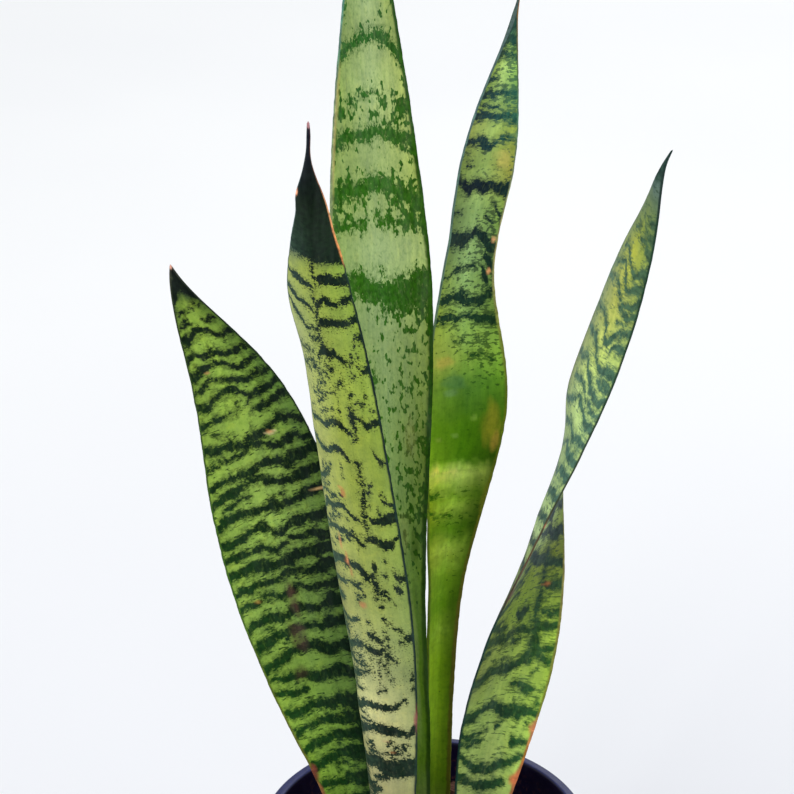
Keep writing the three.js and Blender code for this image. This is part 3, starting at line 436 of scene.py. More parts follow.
def make_leaf(name, node, rows, look, thick_scale=1.0):
    r = np.array(rows, float)
    mid = (r[:, 0:3] + r[:, 3:6]) / 2
    s = np.r_[0, np.cumsum(np.linalg.norm(np.diff(mid, axis=0), axis=1))]
    total = s[-1]
    fine = np.r_[np.linspace(0, 12, 25)[:-1], np.arange(12, total - 0.4, look.get("step", 1.0)), total]
    d = natural_spline(s, r, fine)
    L, R = d[:, 0:3].copy(), d[:, 3:6].copy()
    if "trim" in look:
        tv, tl, tr = zip(*look["trim"])
        c_ = (R - L) / np.linalg.norm(R - L, axis=1)[:, None]
        L = L + c_ * np.interp(fine, tv, tl)[:, None]
        R = R - c_ * np.interp(fine, tv, tr)[:, None]
    mid = (L + R) / 2
    along = -np.gradient(mid, fine, axis=0)
    along /= np.linalg.norm(along, axis=1)[:, None]
    chord = R - L
    width = np.linalg.norm(chord, axis=1)
    across = chord / width[:, None]
    normal = np.cross(along, across)
    normal /= np.linalg.norm(normal, axis=1)[:, None]
    fold, crease, thick = d[:, 6], d[:, 7], d[:, 8] * thick_scale

    nu = look.get("nu", 45)
    # places across, closer together at the margins
    g = np.linspace(-1, 1, nu)
    g = np.sign(g) * (1 - (1 - np.abs(g)) ** 1.35)
    us = (g + 1) / 2
    us[0], us[-1] = 0.0, 1.0
    U, V = np.meshgrid(us, fine)
    W = 2 * U - 1
    Wd = width[:, None]
    F = fold[:, None]
    C = crease[:, None]
    run = across[:, None, :] * Wd[..., None] + normal[:, None, :] * (F * bend_slope(U, C))[..., None]
    run /= np.linalg.norm(run, axis=2)[..., None]
    outn = np.cross(np.broadcast_to(along[:, None, :], run.shape), run)
    outn /= np.linalg.norm(outn, axis=2)[..., None]
    base = L[:, None, :] + chord[:, None, :] * U[..., None] + normal[:, None, :] * (F * bend(U, C))[..., None]
    half = 0.5 * thick[:, None] * (0.16 + 0.84 * np.clip(1 - np.abs(W) ** 2.4, 0, 1) ** 0.8)
    seed = look["seed"]
    # slow undulation of the whole blade, least at the tip and base
    calm = smooth(V, 8, 60) * (1 - smooth(V, total - 60, total - 15))
    wave = look.get("wave", 0.35) * fbm(V / 21.0, U * Wd / 13.0, 3.1, seed, 2) * calm
    # the margin is a firm thin rim with small dents
    rim = smooth(np.abs(W), 1 - 2.2 / np.maximum(Wd, 4), 1.0)
    dent = look.get("dent", 0.12) * (vnoise(V / 3.1, 7.7 * np.sign(W), 0, seed + 5) + 0.6 * vnoise(V / 1.2, 3.3 * np.sign(W), 0, seed + 6)) * rim * calm
    base = base + outn * wave[..., None] - run * (np.sign(W) * np.maximum(dent, -0.1))[..., None]
    # long low ridges of the fibres
    ridge = 0.035 * (vnoise(U * Wd / 0.9, V / 60.0, 0, seed + 1) + 0.6 * vnoise(U * Wd / 0.45, V / 35.0, 0, seed + 2)) * (1 - rim)
    ridge_b = 0.035 * (vnoise(U * Wd / 0.9, V / 60.0, 9, seed + 3) + 0.6 * vnoise(U * Wd / 0.45, V / 35.0, 9, seed + 4)) * (1 - rim)
    pim = 0.05 * vnoise(U * Wd / 3.0, V / 4.5, 0, seed + 8) * (1 - rim)
    front = base - outn * (half + ridge + pim)[..., None]
    back = base + outn * (half + ridge_b + pim)[..., None]

    rows_n = len(fine)
    ring_f = list(range(nu))
    ring_b = list(range(1, nu - 1))[::-1]
    P = np.concatenate([front, back[:, ring_b, :]], axis=1)
    # the two margins keep one vertex each, on the mid surface
    P[:, 0, :] = base[:, 0, :]
    P[:, nu - 1, :] = base[:, -1, :]
    n_ring = P.shape[1]
    uu = np.concatenate([U, U[:, ring_b]], axis=1)
    vv = np.concatenate([V, V[:, ring_b]], axis=1)
    side = np.concatenate([np.zeros((rows_n, nu)), np.ones((rows_n, nu - 2))], axis=1)
    tip = mid[0] + along[0] * 0.9
    end = L[-1] + chord[-1] * 0.5 + normal[-1] * fold[-1] * 0.9
    verts = np.concatenate([P.reshape(-1, 3), tip[None], end[None]]) * MM
    i = np.arange(rows_n - 1)[:, None] * n_ring
    j = np.arange(n_ring)[None, :]
    k = (j + 1) % n_ring
    quads = np.stack([i + j, i + n_ring + j, i + n_ring + k, i + k], -1).reshape(-1, 4)
    faces = [tuple(q) for q in quads]
    ti, ei = rows_n * n_ring, rows_n * n_ring + 1
    last = (rows_n - 1) * n_ring
    faces += [(ti, a, (a + 1) % n_ring) for a in range(n_ring)]
    faces += [(last + (a + 1) % n_ring, last + a, ei) for a in range(n_ring)]
    ob = new_object(name, verts, faces)
    bm = bmesh.new()
    bm.from_mesh(ob.data)
    bmesh.ops.recalc_face_normals(bm, faces=bm.faces)
    bm.to_mesh(ob.data)
    bm.free()
    ob.data.polygons.foreach_set("use_smooth", [True] * len(ob.data.polygons))

    # ---- painted fields, one value a vertex
    u_ = np.r_[uu.ravel(), 0.5, 0.5]
    v_ = np.r_[vv.ravel(), 0.0, total]
    s_ = np.r_[side.ravel(), 0, 1]
    w_ = np.r_[np.repeat(width, n_ring), width[0], width[-1]]
    warp = look.get("warp", 0.8)
    vq = v_ + warp * fbm(u_ * w_ / 4.0, v_ / 9.0, s_ * 5, seed + 31, 3)
    uq = np.clip(u_ + (0.9 / np.maximum(w_, 5)) * fbm(u_ * w_ / 5.0, v_ / 6.0, s_ * 5 + 2, seed + 37, 2), 0, 1)
    # the far side of a blade has the same bands, a little shifted
    shift = np.where(s_ > 0.5, look.get("back_shift", 1.5) * vnoise(v_ / 40.0, 0, 0, seed + 41), 0)
    fat = look.get("fat", 1.0)
    fat = fat(u_, v_) if callable(fat) else fat
    rows_ = list(look["bands"])
    drng = np.random.default_rng(seed)
    for (u0, u1, v0, v1, count, ln, hw, lean) in look.get("dashes", []):
        for _ in range(count):
            cu, cv_ = drng.uniform(u0, u1), drng.uniform(v0, v1)
            wv = float(np.interp(cv_, fine, width))
            hl = 0.5 * ln * drng.uniform(0.5, 1.5) / wv
            sl = drng.normal(0, lean)
            k1 = drng.normal(0, 0.35 * lean + 0.15) * ln * 0.3
            h_ = hw * drng.uniform(0.6, 1.35)
            rows_.append(np.array([[cu - hl, cv_ - sl * hl * wv, h_ * 0.7], [cu, cv_ + k1, h_], [cu + hl, cv_ + sl * hl * wv, h_ * 0.6]]))
    field = band_field(uq, vq + shift, w_, rows_, look.get("lines", []), fat)
    if "cap" in look:
        c0, c1 = look["cap"]
        edge = np.minimum(v_ - c0, c1(u_) - v_ if callable(c1) else c1 - v_)
        field = np.maximum(field, np.clip(edge, -9, 5))
    put(ob, "field", "FLOAT", np.clip(field, -9, 6))
    vr = np.clip(v_ + 1.9 * vnoise(u_ * w_ / 4.0, v_ / 7.0, s_ * 3, seed + 83) + 1.1 * vnoise(u_ * w_ / 1.6, v_ / 3.0, s_ * 3, seed + 84), 0, total)
    ground = ramp3(u_, vr, look["ground"])
    dark = ramp3(u_, vr, look["dark"])
    ground = ground * np.array(look.get("tint", (1.0, 1.0, 1.0)))
    if "gain" in look:
        gv = [q[0] for q in look["gain"]]
        a_, b_ = np.clip(1 - 2 * u_, 0, 1), np.clip(2 * u_ - 1, 0, 1)
        gl, gm, gr = [np.interp(v_, gv, [q[k] for q in look["gain"]]) for k in (1, 2, 3)]
        gk = (gl * a_ + gr * b_ + gm * (1 - a_ - b_))[:, None]
        ground = ground * gk
        dark = dark * gk ** 0.2
    for (pts, hw, col, amt) in look.get("stripes", []):
        pv_, pu_, pa_ = zip(*pts)
        off = (u_ - np.interp(v_, pv_, pu_)) * w_ + 0.5 * vnoise(v_ / 12.0, 0.3, 0, seed + 71)
        k_ = (amt * np.interp(v_, pv_, pa_) * np.clip(1 - (off / hw) ** 2, 0, 1) ** 1.2)[:, None]
        c = srgb(*col)[None]
        ground = ground * (1 - k_) + c * k_
        dark = dark * (1 - 0.8 * k_) + c * 0.8 * k_
    # margins
    em = (0.5 - np.abs(u_ - 0.5)) * w_
    for side_u, stops in look.get("margins", []):
        mv = np.array([m[0] for m in stops], float)
        mw = np.interp(v_, mv, [m[1] for m in stops])
        mc = np.stack([np.interp(v_, mv, [srgb(*m[2])[ch] for m in stops]) for ch in range(3)], -1)
        near = (u_ < 0.5) if side_u == 0 else (u_ >= 0.5)
        wob = 0.35 * vnoise(v_ / 3.0, 1.7 + side_u, 0, seed + 61) + 0.25 * vnoise(v_ / 0.9, 1.7 + side_u, 0, seed + 62)
        k_ = np.where(near, 1 - smooth(em, mw * (0.55 + 0.3 * wob), mw * (1.05 + 0.3 * wob) + 0.15), 0)[:, None]
        ground = ground * (1 - k_) + mc * k_
        dark = dark * (1 - k_) + mc * k_
    for (pu, pv, ru, rv, col, amt) in look.get("patches", []):
        q = ((u_ - pu) * w_ / ru) ** 2 + ((v_ - pv) / rv) ** 2
        q = q * (1 + 0.5 * vnoise(u_ * w_ / (0.6 * ru + 0.3), v_ / (0.6 * rv + 0.3), s_ * 3, seed + 51))
        k_ = (amt * np.clip(1.25 - q, 0, 1) * np.where(s_ == look.get("patch_side", 0), 1, 0))[:, None]
        c = srgb(*col)[None]
        ground = ground * (1 - k_) + c * k_
        dark = dark * (1 - k_) + c * k_
    for (u0, u1, v0, v1, fe, amt) in look.get("light", []):
        vw = v_ + 1.9 * vnoise(u_ * w_ / 3.4, v_ / 5.0, 0, seed + 81) + 1.2 * vnoise(u_ * w_ / 1.3, v_ / 2.4, 0, seed + 82)
        k_ = (amt * smooth(vw, v0 - fe, v0 + fe) * (1 - smooth(vw, v1 - fe, v1 + fe)) * smooth(u_, u0 - 0.05, u0 + 0.06) * (1 - smooth(u_, u1 - 0.08, u1 + 0.05)))[:, None]
        lift = np.clip(ground * 1.35 + np.array([0.055, 0.060, 0.012]), 0, 0.85)
        ground = ground * (1 - k_) + lift * k_
        dark = dark * (1 - 0.6 * k_) + lift * 0.6 * k_
    put(ob, "ground", "FLOAT_COLOR", ground)
    put(ob, "dark", "FLOAT_COLOR", dark)
    fl = look.get("fleck", [(0, 0.0), (total, 0.0)])
    fleck = np.interp(v_, [f[0] for f in fl], [f[1] for f in fl])
    if "fleck_u" in look:
        fleck = fleck * np.interp(u_, *zip(*look["fleck_u"]))
    put(ob, "fleck", "FLOAT", fleck)
    lco = np.c_[(u_ - 0.5) * w_, v_, s_ * 37.0 + seed * 3.3]
    put(ob, "lco", "FLOAT_VECTOR", lco)

    # bake map: the leaf cut into three lengths, front and back side by side
    uv = ob.data.uv_layers.new(name="OFBake")
    nseg = 3
    me = ob.data
    li = np.zeros(len(me.loops), np.int64)
    me.loops.foreach_get("vertex_index", li)
    start = np.zeros(len(me.polygons), np.int64)
    count = np.zeros(len(me.polygons), np.int64)
    me.polygons.foreach_get("loop_start", start)
    me.polygons.foreach_get("loop_total", count)
    fidx = np.repeat(np.arange(len(me.polygons)), count)
    order = np.argsort(np.repeat(start, count) + np.concatenate([np.arange(c) for c in count]))
    fidx = fidx[order]
    vseg = v_[li]
    fv = np.bincount(fidx, vseg) / count
    fs = np.bincount(fidx, s_[li]) / count
    isback = fs[fidx] > 0.01
    seglen = total / nseg
    seg = np.clip((fv[fidx] / seglen).astype(int), 0, nseg - 1)
    uu_l = u_[li]
    x = (seg + np.where(isback, 0.515, 0.015) + 0.46 * uu_l) / nseg
    y = 0.02 + 0.96 * (vseg - seg * seglen) / (seglen + 2.0)
    uv.data.foreach_set("uv", np.c_[x, np.clip(y, 0, 1)].astype(np.float32).ravel())

    ob.data.materials.append(leaf_material(name + "_skin", look))
    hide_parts(node)
    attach(ob, "root")
    return ob


def leaf_material(name, look):
    m = Nodes(name)
    co = m.attr("lco", "Vector")
    field = m.attr("field")
    fleck = m.attr("fleck")
    ground = m.attr("ground", "Color")
    dark = m.attr("dark", "Color")
    su, sv = look.get("grain", (1.1, 2.6))          # size of the ragged teeth, mm across and along
    a1 = look.get("rag", 7.0)
    soft = look.get("soft", 0.35)
    n1 = m.noise(m.scaled(co, (1 / su, 1 / sv, 1)), 1.0, 3.0, 0.6)
    n2 = m.noise(m.scaled(co, (1 / (su * 0.45), 1 / (sv * 0.4), 1), (31, 7, 2)), 1.0, 2.0, 0.55)
    n0 = m.noise(m.scaled(co, (1 / (su * 3.2), 1 / (sv * 2.2), 1), (13, 4, 6)), 1.0, 2.0, 0.55)
    e0 = m.math("MULTIPLY", m.math("SUBTRACT", n0, 0.5), look.get("rag_big", a1 * 0.8))
    field = m.math("ADD", field, e0)
    e1 = m.math("MULTIPLY", m.math("SUBTRACT", n1, 0.5), a1)
    e2 = m.math("MULTIPLY", m.math("SUBTRACT", n2, 0.5), a1 * 0.55)
    f = m.math("ADD", m.math("ADD", field, e1), e2)
    band = m.range(f, -soft, soft)
    # loose flecks between the bands
    fu, fv = look.get("fleck_size", (1.0, 2.4))
    n3 = m.noise(m.scaled(co, (1 / fu, 1 / fv, 1), (3, 91, 5)), 1.0, 2.0, 0.6)
    near = m.range(field, -look.get("reach", 5.0), 0.5)
    thr = m.math("SUBTRACT", 0.80, m.math("MULTIPLY", fleck, 0.32))
    thr = m.math("SUBTRACT", thr, m.math("MULTIPLY", near, look.get("near", 0.07)))
    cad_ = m.range(m.math("SUBTRACT", n3, thr), -0.015 - soft * 0.02, 0.02 + soft * 0.03)
    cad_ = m.math("MULTIPLY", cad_, m.math("MULTIPLY", m.range(fleck, 0.0, 0.05), look.get("fleck_depth", 0.9)))
    halo = m.math("MULTIPLY", m.range(m.math("ADD", f, m.math("MULTIPLY", e1, 0.8)), -look.get("halo_w", 2.4), 0.3), look.get("halo", 0.45))
    amount = m.math("MAXIMUM", m.math("MAXIMUM", band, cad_), halo)
    # the pale ground varies in soft streaks along the leaf
    st = m.noise(m.scaled(co, (1 / 1.6, 1 / 16.0, 1), (11, 3, 8)), 1.0, 4.0, 0.6)
    cl = m.noise(m.scaled(co, (1 / 6.0, 1 / 9.0, 1), (5, 13, 1)), 1.0, 3.0, 0.6)
    fi = m.noise(m.scaled(co, (1 / 0.5, 1 / 1.1, 1), (1, 2, 4)), 1.0, 2.0, 0.6)
    gv = m.math("ADD", m.math("MULTIPLY", m.math("SUBTRACT", st, 0.5), look.get("streak", 0.55)), m.math("MULTIPLY", m.math("SUBTRACT", cl, 0.5), look.get("cloud", 0.5)))
    gv = m.math("ADD", gv, m.math("MULTIPLY", m.math("SUBTRACT", fi, 0.5), look.get("fine", 0.22)))
    gain = m.math("ADD", 1.0, gv)
    comb = m.n("ShaderNodeCombineColor")
    m.link(m.math("ADD", 1.0, m.math("MULTIPLY", gv, 1.15)), comb.inputs[0])
    m.link(gain, comb.inputs[1])
    m.link(m.math("ADD", 1.0, m.math("MULTIPLY", gv, 0.7)), comb.inputs[2])
    g2 = m.mix(1.0, ground, comb.outputs[0], "MULTIPLY")
    # soft blotches of a deeper green in the pale ground, and a few yellower ones
    mu, mv = look.get("mott_size", (2.4, 2.0))
    b1 = m.noise(m.scaled(co, (1 / mu, 1 / mv, 1), (41, 12, 3)), 1.0, 3.0, 0.6)
    b2 = m.noise(m.scaled(co, (1 / (mu * 1.9), 1 / (mv * 1.6), 1), (9, 52, 7)), 1.0, 2.0, 0.5)
    g2 = m.mix(m.range(b1, 0.44, 0.74, 0.0, look.get("mott", 0.35)), g2, m.mix(1.0, g2, look.get("mott_col", (0.42, 0.55, 0.45)), "MULTIPLY"))
    g2 = m.mix(m.range(b2, 0.52, 0.76, 0.0, look.get("warm", 0.25)), g2, m.mix(1.0, g2, (1.22, 1.06, 0.82), "MULTIPLY"))
    # dark bands: mottled, with a little of the ground showing through
    dn = m.noise(m.scaled(co, (1 / 1.3, 1 / 3.5, 1), (17, 23, 6)), 1.0, 3.0, 0.65)
    d1 = m.mix(m.range(b1, 0.36, 0.66, 0.0, look.get("deep", 0.6)), m.mix(1.0, dark, (1.7, 1.75, 1.5), "MULTIPLY"), m.mix(1.0, dark, (0.45, 0.5, 0.6), "MULTIPLY"))
    d2 = m.mix(m.range(dn, 0.50, 0.80, 0.0, look.get("show", 0.30)), d1, g2)
    col = m.mix(amount, g2, d2)
    # waxy bloom: a thin pale film in soft patches
    bl = m.noise(m.scaled(co, (1 / 4.0, 1 / 30.0, 1), (7, 7, 7)), 1.0, 3.0, 0.6)
    col = m.mix(m.range(bl, 0.35, 0.8, 0.0, look.get("bloom", 0.10)), col, look.get("bloom_col", (0.42, 0.52, 0.46)))
    m.link(col, m.bsdf.inputs["Base Color"])
    ro = m.math("ADD", look.get("rough", 0.46), m.math("MULTIPLY", m.math("SUBTRACT", cl, 0.5), 0.25))
    ro = m.math("SUBTRACT", ro, m.math("MULTIPLY", amount, 0.05))
    m.link(ro, m.bsdf.inputs["Roughness"])
    m.bsdf.inputs["Specular IOR Level"].default_value = look.get("spec", 0.38)
    m.bsdf.inputs["Subsurface Weight"].default_value = look.get("sss", 0.0)
    m.bsdf.inputs["Subsurface Scale"].default_value = 0.002
    m.bsdf.inputs["Subsurface Radius"].default_value = (0.6, 1.0, 0.25)
    h1 = m.noise(m.scaled(co, (1 / 0.55, 1 / 14.0, 1), (2, 2, 9)), 1.0, 3.0, 0.6)
    h2 = m.noise(m.scaled(co, (1 / 0.35, 1 / 0.6, 1), (6, 1, 9)), 1.0, 2.0, 0.6)
    h = m.math("ADD", m.math("MULTIPLY", h1, 0.8), m.math("MULTIPLY", h2, 0.3))
    h = m.math("ADD", h, m.math("MULTIPLY", amount, -0.12))
    m.link(m.bump(h, 0.35, 0.00018), m.bsdf.inputs["Normal"])
    return m.mat

# ---------------------------------------------------------------- painted bands
# Each row is one dark band as u:v:halfwidth points; u runs 0-1 from the left
# margin to the right one, v is mm from the tip, halfwidth is in mm.
A_BANDS = strokes("""
0.0:11:1.0 0.6:12.5:1.2 0.95:15:1.4
0.0:27.5:1.0 0.2:27.2:0.7 0.34:27:0.4
0.0:33:2.6 0.15:35:2.4 0.3:32:1.9 0.45:31.5:1.7 0.6:33:1.6 0.75:37:1.9 0.9:37:2.1 1:37:2.4
0.0:43:2.2 0.15:42:1.7 0.3:43:1.5 0.45:41.5:1.8 0.55:43:2.0 0.7:46:1.8 0.85:46:1.6 1:45:1.8
0.0:51:2.2 0.2:49:1.6 0.4:47.5:1.3 0.55:50:1.5 0.7:54:1.7 0.85:52:1.9 1:51:1.9
0.0:58:1.5 0.15:55.5:1.4 0.3:54.5:1.1 0.5:58:1.4 0.65:59:1.5 0.8:59:1.4 1:58:1.6
0.0:65:2.0 0.15:66:1.9 0.3:63:1.7 0.5:62.5:1.7 0.6:67:1.5 0.75:67:1.7 0.9:65:2 1:65:2.4
0.0:75:1.5 0.12:73:1.4 0.22:70:0.9
0.52:73:0.8 0.7:76:1.4 0.8:73:2 1:72:2.6
0.0:84:2 0.1:87:2.2 0.25:86.5:2 0.35:88:1.8 0.5:86.5:2.1 0.6:87:1.5 0.72:84:1.6 0.8:81:2.4 1:86:3
0.0:93:1.0 0.3:92:1 0.45:90:1.5 0.6:92.5:1.7 0.7:95:1.6 0.85:92:2.2 1:95:3.2
0.0:103:1.6 0.25:101.5:1.8 0.4:103:1.8 0.55:99.5:2 0.7:103:2 0.8:101:2.4 1:100:3.4
0.0:112:2.2 0.2:108:2.2 0.35:107:1.3 0.5:108:2.4 0.62:112:2.2 0.75:109:2.6 1:109:3.4
0.08:118:1.2 0.22:113:1.4 0.36:114:1.2
0.0:122:2.0 0.2:121:2 0.35:122:1.8 0.5:121.5:2 0.65:122.5:1.8 0.8:118:2.4 1:120:3.4
0.0:131:1.8 0.15:133:1.8 0.25:130:1.6 0.4:130.5:2 0.5:134:1.8 0.65:131:2 0.8:131:2.6 1:131:3.4
0.0:139:1.6 0.2:140:1.8 0.35:139:1.6 0.45:142:1.8 0.6:139:1.8 0.75:139:2.4 0.85:141:3 1:141:3.6
0.0:148:2 0.2:147:2 0.35:148:2.2 0.5:149:2.5 0.65:148:2.2 0.8:147.5:3 1:148:3.8
0.0:157:1.8 0.2:155:2.2 0.35:156:1.6 0.5:154:2 0.65:157:1.8 0.8:155:3 1:156:3.8
0.0:165:1.6 0.25:163:1.8 0.4:165:1.6 0.55:162.5:1.6 0.7:165:1.8 0.82:164:3 1:164:3.8
0.0:176:2.2 0.2:174:2.2 0.35:175:2.2 0.5:172:2 0.65:175:1.8 0.8:173:3 1:174:3.8
0.0:185:2.2 0.2:184:2 0.35:183:1.6 0.5:181:1.8 0.65:183.5:1.8 0.8:183:3 1:184:3.8
0.0:196:2.2 0.2:195:2.4 0.35:192:2.2 0.45:191:2.2 0.6:194:2.4 0.75:196:2.6 0.83:196:3.2 1:196:4
0.0:202:1.2 0.12:203:1.3 0.3:205:1.8 0.45:209:2.4 0.6:208.5:2.6 0.75:207:3 0.83:210:3.4 1:208:4
0.0:211:1.6 0.2:212:1.9 0.36:213:1.8
0.0:222:1.8 0.2:222:2 0.35:221:2 0.5:223:2 0.65:222:2.6 0.8:224:4 1:222:4
0.0:232:1.6 0.2:231:1.8 0.4:230:1.8 0.55:231:2 0.7:231:2.6 0.82:233:4 1:231:4
0.0:241:1.7 0.3:240:1.8 0.5:239:2.2 0.65:239:2.6 0.8:240:4 1:240:4
0.0:251:2.4 0.2:250:2.2 0.4:249:2.2 0.6:248:2.6 0.8:250:5 1:249:5
0.0:261:1.8 0.3:262:1.9 0.5:262:2.4 0.7:263:3.4 0.82:262:5 1:261:5
0.0:273:2.0 0.3:272:2.0 0.6:274:2.6 1:272:4.5
0.0:284:2.0 0.4:285:2.2 0.7:284:2.8 1:285:4
0.0:297:2.2 0.5:295:2.4 1:296:3.4
""")
B_BANDS = strokes("""
0.0:66:1.2 0.1:69.5:1.5 0.3:71.2:1.6 0.42:74:1.3 0.47:77:0.9
0.50:71.5:2.2 0.6:70.5:2.6 0.7:70:2.2 0.8:71.5:2.4 1:71:2.6
0.0:75:1.1 0.1:78.5:1.3 0.25:81.5:1.2 0.35:84:1.0 0.45:88:0.9
0.46:86:0.9 0.5:82.5:1.5 0.6:80.3:1.7 0.72:82:1.5 0.83:81.5:1.3 0.93:80.5:1.5 1:80:1.7
0.0:82:1.2 0.1:87:1.4 0.2:90:1.5 0.27:94:1.3 0.38:95:1.0 0.45:95:1.2 0.52:91:1.8 0.62:91:1.8 0.72:92:1.6 0.82:91:1.5 1:89.5:1.8
0.34:112:0.8 0.39:106:1.5 0.45:103:2.2 0.52:105:2.3 0.6:104:1.8 0.66:108.5:1.4 0.72:110:0.8
0.70:120:0.9 0.74:113:1.2 0.78:106:1.0 0.82:103:0.6
0.40:111:0.7 0.5:113:0.9 0.56:112:0.6
0.06:108:0.7 0.12:114:0.8 0.2:118:0.7
0.18:107:0.8 0.25:112:0.9 0.32:118:0.8 0.4:121:0.6
0.83:100:0.7 0.9:98:1.0 1:98:2.0
0.8:110:0.6 0.88:114:0.9 1:113:2.2
0.0:137:1.0 0.08:141:1.3 0.15:139:1.4 0.3:141:1.4 0.42:138.5:1.6 0.5:139.5:1.6 0.57:143:1.3 0.63:144:0.9
0.66:133:0.7 0.7:135:1.1 0.78:136:1.3 0.83:140:1.4 0.9:138:1.3 1:138:1.2
0.50:134:0.9 0.57:133.5:0.8
0.0:147:1.1 0.05:150:1.3 0.15:151:1.4 0.25:154.5:1.6 0.36:151.5:1.5 0.45:152:1.6 0.52:155:1.4 0.6:158:0.9
0.80:151:0.9 0.86:156.5:1.4 0.93:158.5:1.0 1:155:1.2
0.0:170:1.4 0.1:168.5:1.6 0.2:167:1.4 0.3:165:0.8
0.0:179:1.0 0.1:176:0.9 0.2:175:0.7
0.30:173:0.7 0.36:174.5:0.9 0.40:176:0.6
0.0:187:1.7 0.1:181.5:1.7 0.2:183:1.6 0.3:180:1.5 0.38:181:1.4 0.45:185:1.6 0.5:187:1.4 0.57:187:1.0
0.61:182:0.8 0.66:184:1.1 0.72:186.5:1.3 0.82:187:2.0 0.9:185:2.4 1:184:2.4
0.82:174.5:0.7 0.88:177:1.1 1:180:1.3
0.0:198:1.6 0.1:194:1.4 0.2:192:1.5 0.3:193:1.4 0.4:195:1.2 0.5:198:1.3 0.58:200:1.0 0.64:195:1.2 0.7:197:1.6 0.8:199.3:2.0 0.88:199:1.9 0.95:195:1.5 1:192:1.2
0.0:213:2.4 0.1:210:2.2 0.2:209:2.1 0.3:209:1.9 0.4:210:2.0 0.5:214.5:2.2 0.58:216:1.4
0.60:213:1.6 0.64:210:2.0 0.68:210:1.2
0.0:222:1.3 0.15:220:1.3 0.3:218:1.0 0.38:221:1.3 0.45:224:0.9
0.63:222:1.3 0.72:225:1.0 0.79:227:0.7
0.80:219.5:0.9 0.86:221:1.5 0.93:223:1.2
0.83:213:1.0 0.88:216:1.2 1:216:1.7
0.0:231:1.9 0.1:229.5:1.7 0.22:228:1.2
0.0:239:1.4 0.2:240:1.2 0.36:238:0.7
0.0:246:2.0 0.15:248:1.2
0.40:246:0.8 0.5:246:1.5 0.57:249:1.1 0.65:246:1.4 0.70:249:0.9
0.83:246:1.2 0.9:247.5:1.6 1:245:1.6
0.0:255:2.1 0.15:253.5:1.9 0.25:251:1.7 0.35:252:1.3 0.42:253.5:1.5 0.52:254.5:1.5 0.6:253:1.3 0.68:257.5:1.3 0.77:259.5:0.8
0.0:262.5:1.5 0.1:261:1.3 0.22:259:0.8
0.0:270:1.7 0.12:268.5:1.4 0.26:267:0.8
0.0:277:1.4 0.15:275.5:1.1 0.28:275:0.6
0.0:287.5:2.6 0.1:286:2.4 0.25:283:1.8 0.4:283:1.7 0.5:284:1.8 0.62:284.5:1.6 0.75:282.5:1.5 0.79:279.5:1.0 0.88:281:0.8
0.0:300:3.2 0.15:298.5:2.8 0.3:295:2.1 0.45:295.5:2.4 0.6:297:2.6 0.78:297:2.1 0.88:299.5:1.5 1:295.5:2.2
0.26:304:1.2 0.34:304.5:0.8
0.30:309:1.2 0.40:309:0.7
0.76:306:1.3 0.83:308:1.1
0.5:303:0.7 0.66:303.5:0.7
0.0:315:3.8 0.15:314:3.4 0.3:312.5:3.0 0.42:316.5:4.3 0.6:317:4.6 0.75:317:4.6 0.9:317:4.2 1:317:4.0
0.0:327:2.6 0.2:326:1.6 0.32:325:0.8
0.0:338:2.2 0.4:341:2.0 0.8:339:2.2 1:340:2.6
0.0:352:2.4 0.5:354:2.4 1:352:2.8
0.0:366:2.0 0.5:368:1.8 1:366:2.2
""")
B_LINES = strokes("""
60:0.47:0.6 66:0.475:0.5 72:0.47:0.35 80:0.465:0.6 88:0.46:0.35 96:0.455:0.6 104:0.44:0.4
128:0.690:0.5 133:0.685:0.9 138:0.680:1.2 143:0.668:0.8 149:0.655:0.5
156:0.652:0.5 161:0.650:0.9 166:0.645:0.6 172:0.640:0.9 178:0.632:1.1 184:0.622:1.0 190:0.610:0.7 199:0.600:0.6
212:0.612:1.0 218:0.610:1.4 223:0.612:1.0 229:0.612:0.6
251:0.640:0.6 256:0.640:0.7 262:0.640:0.4
""")
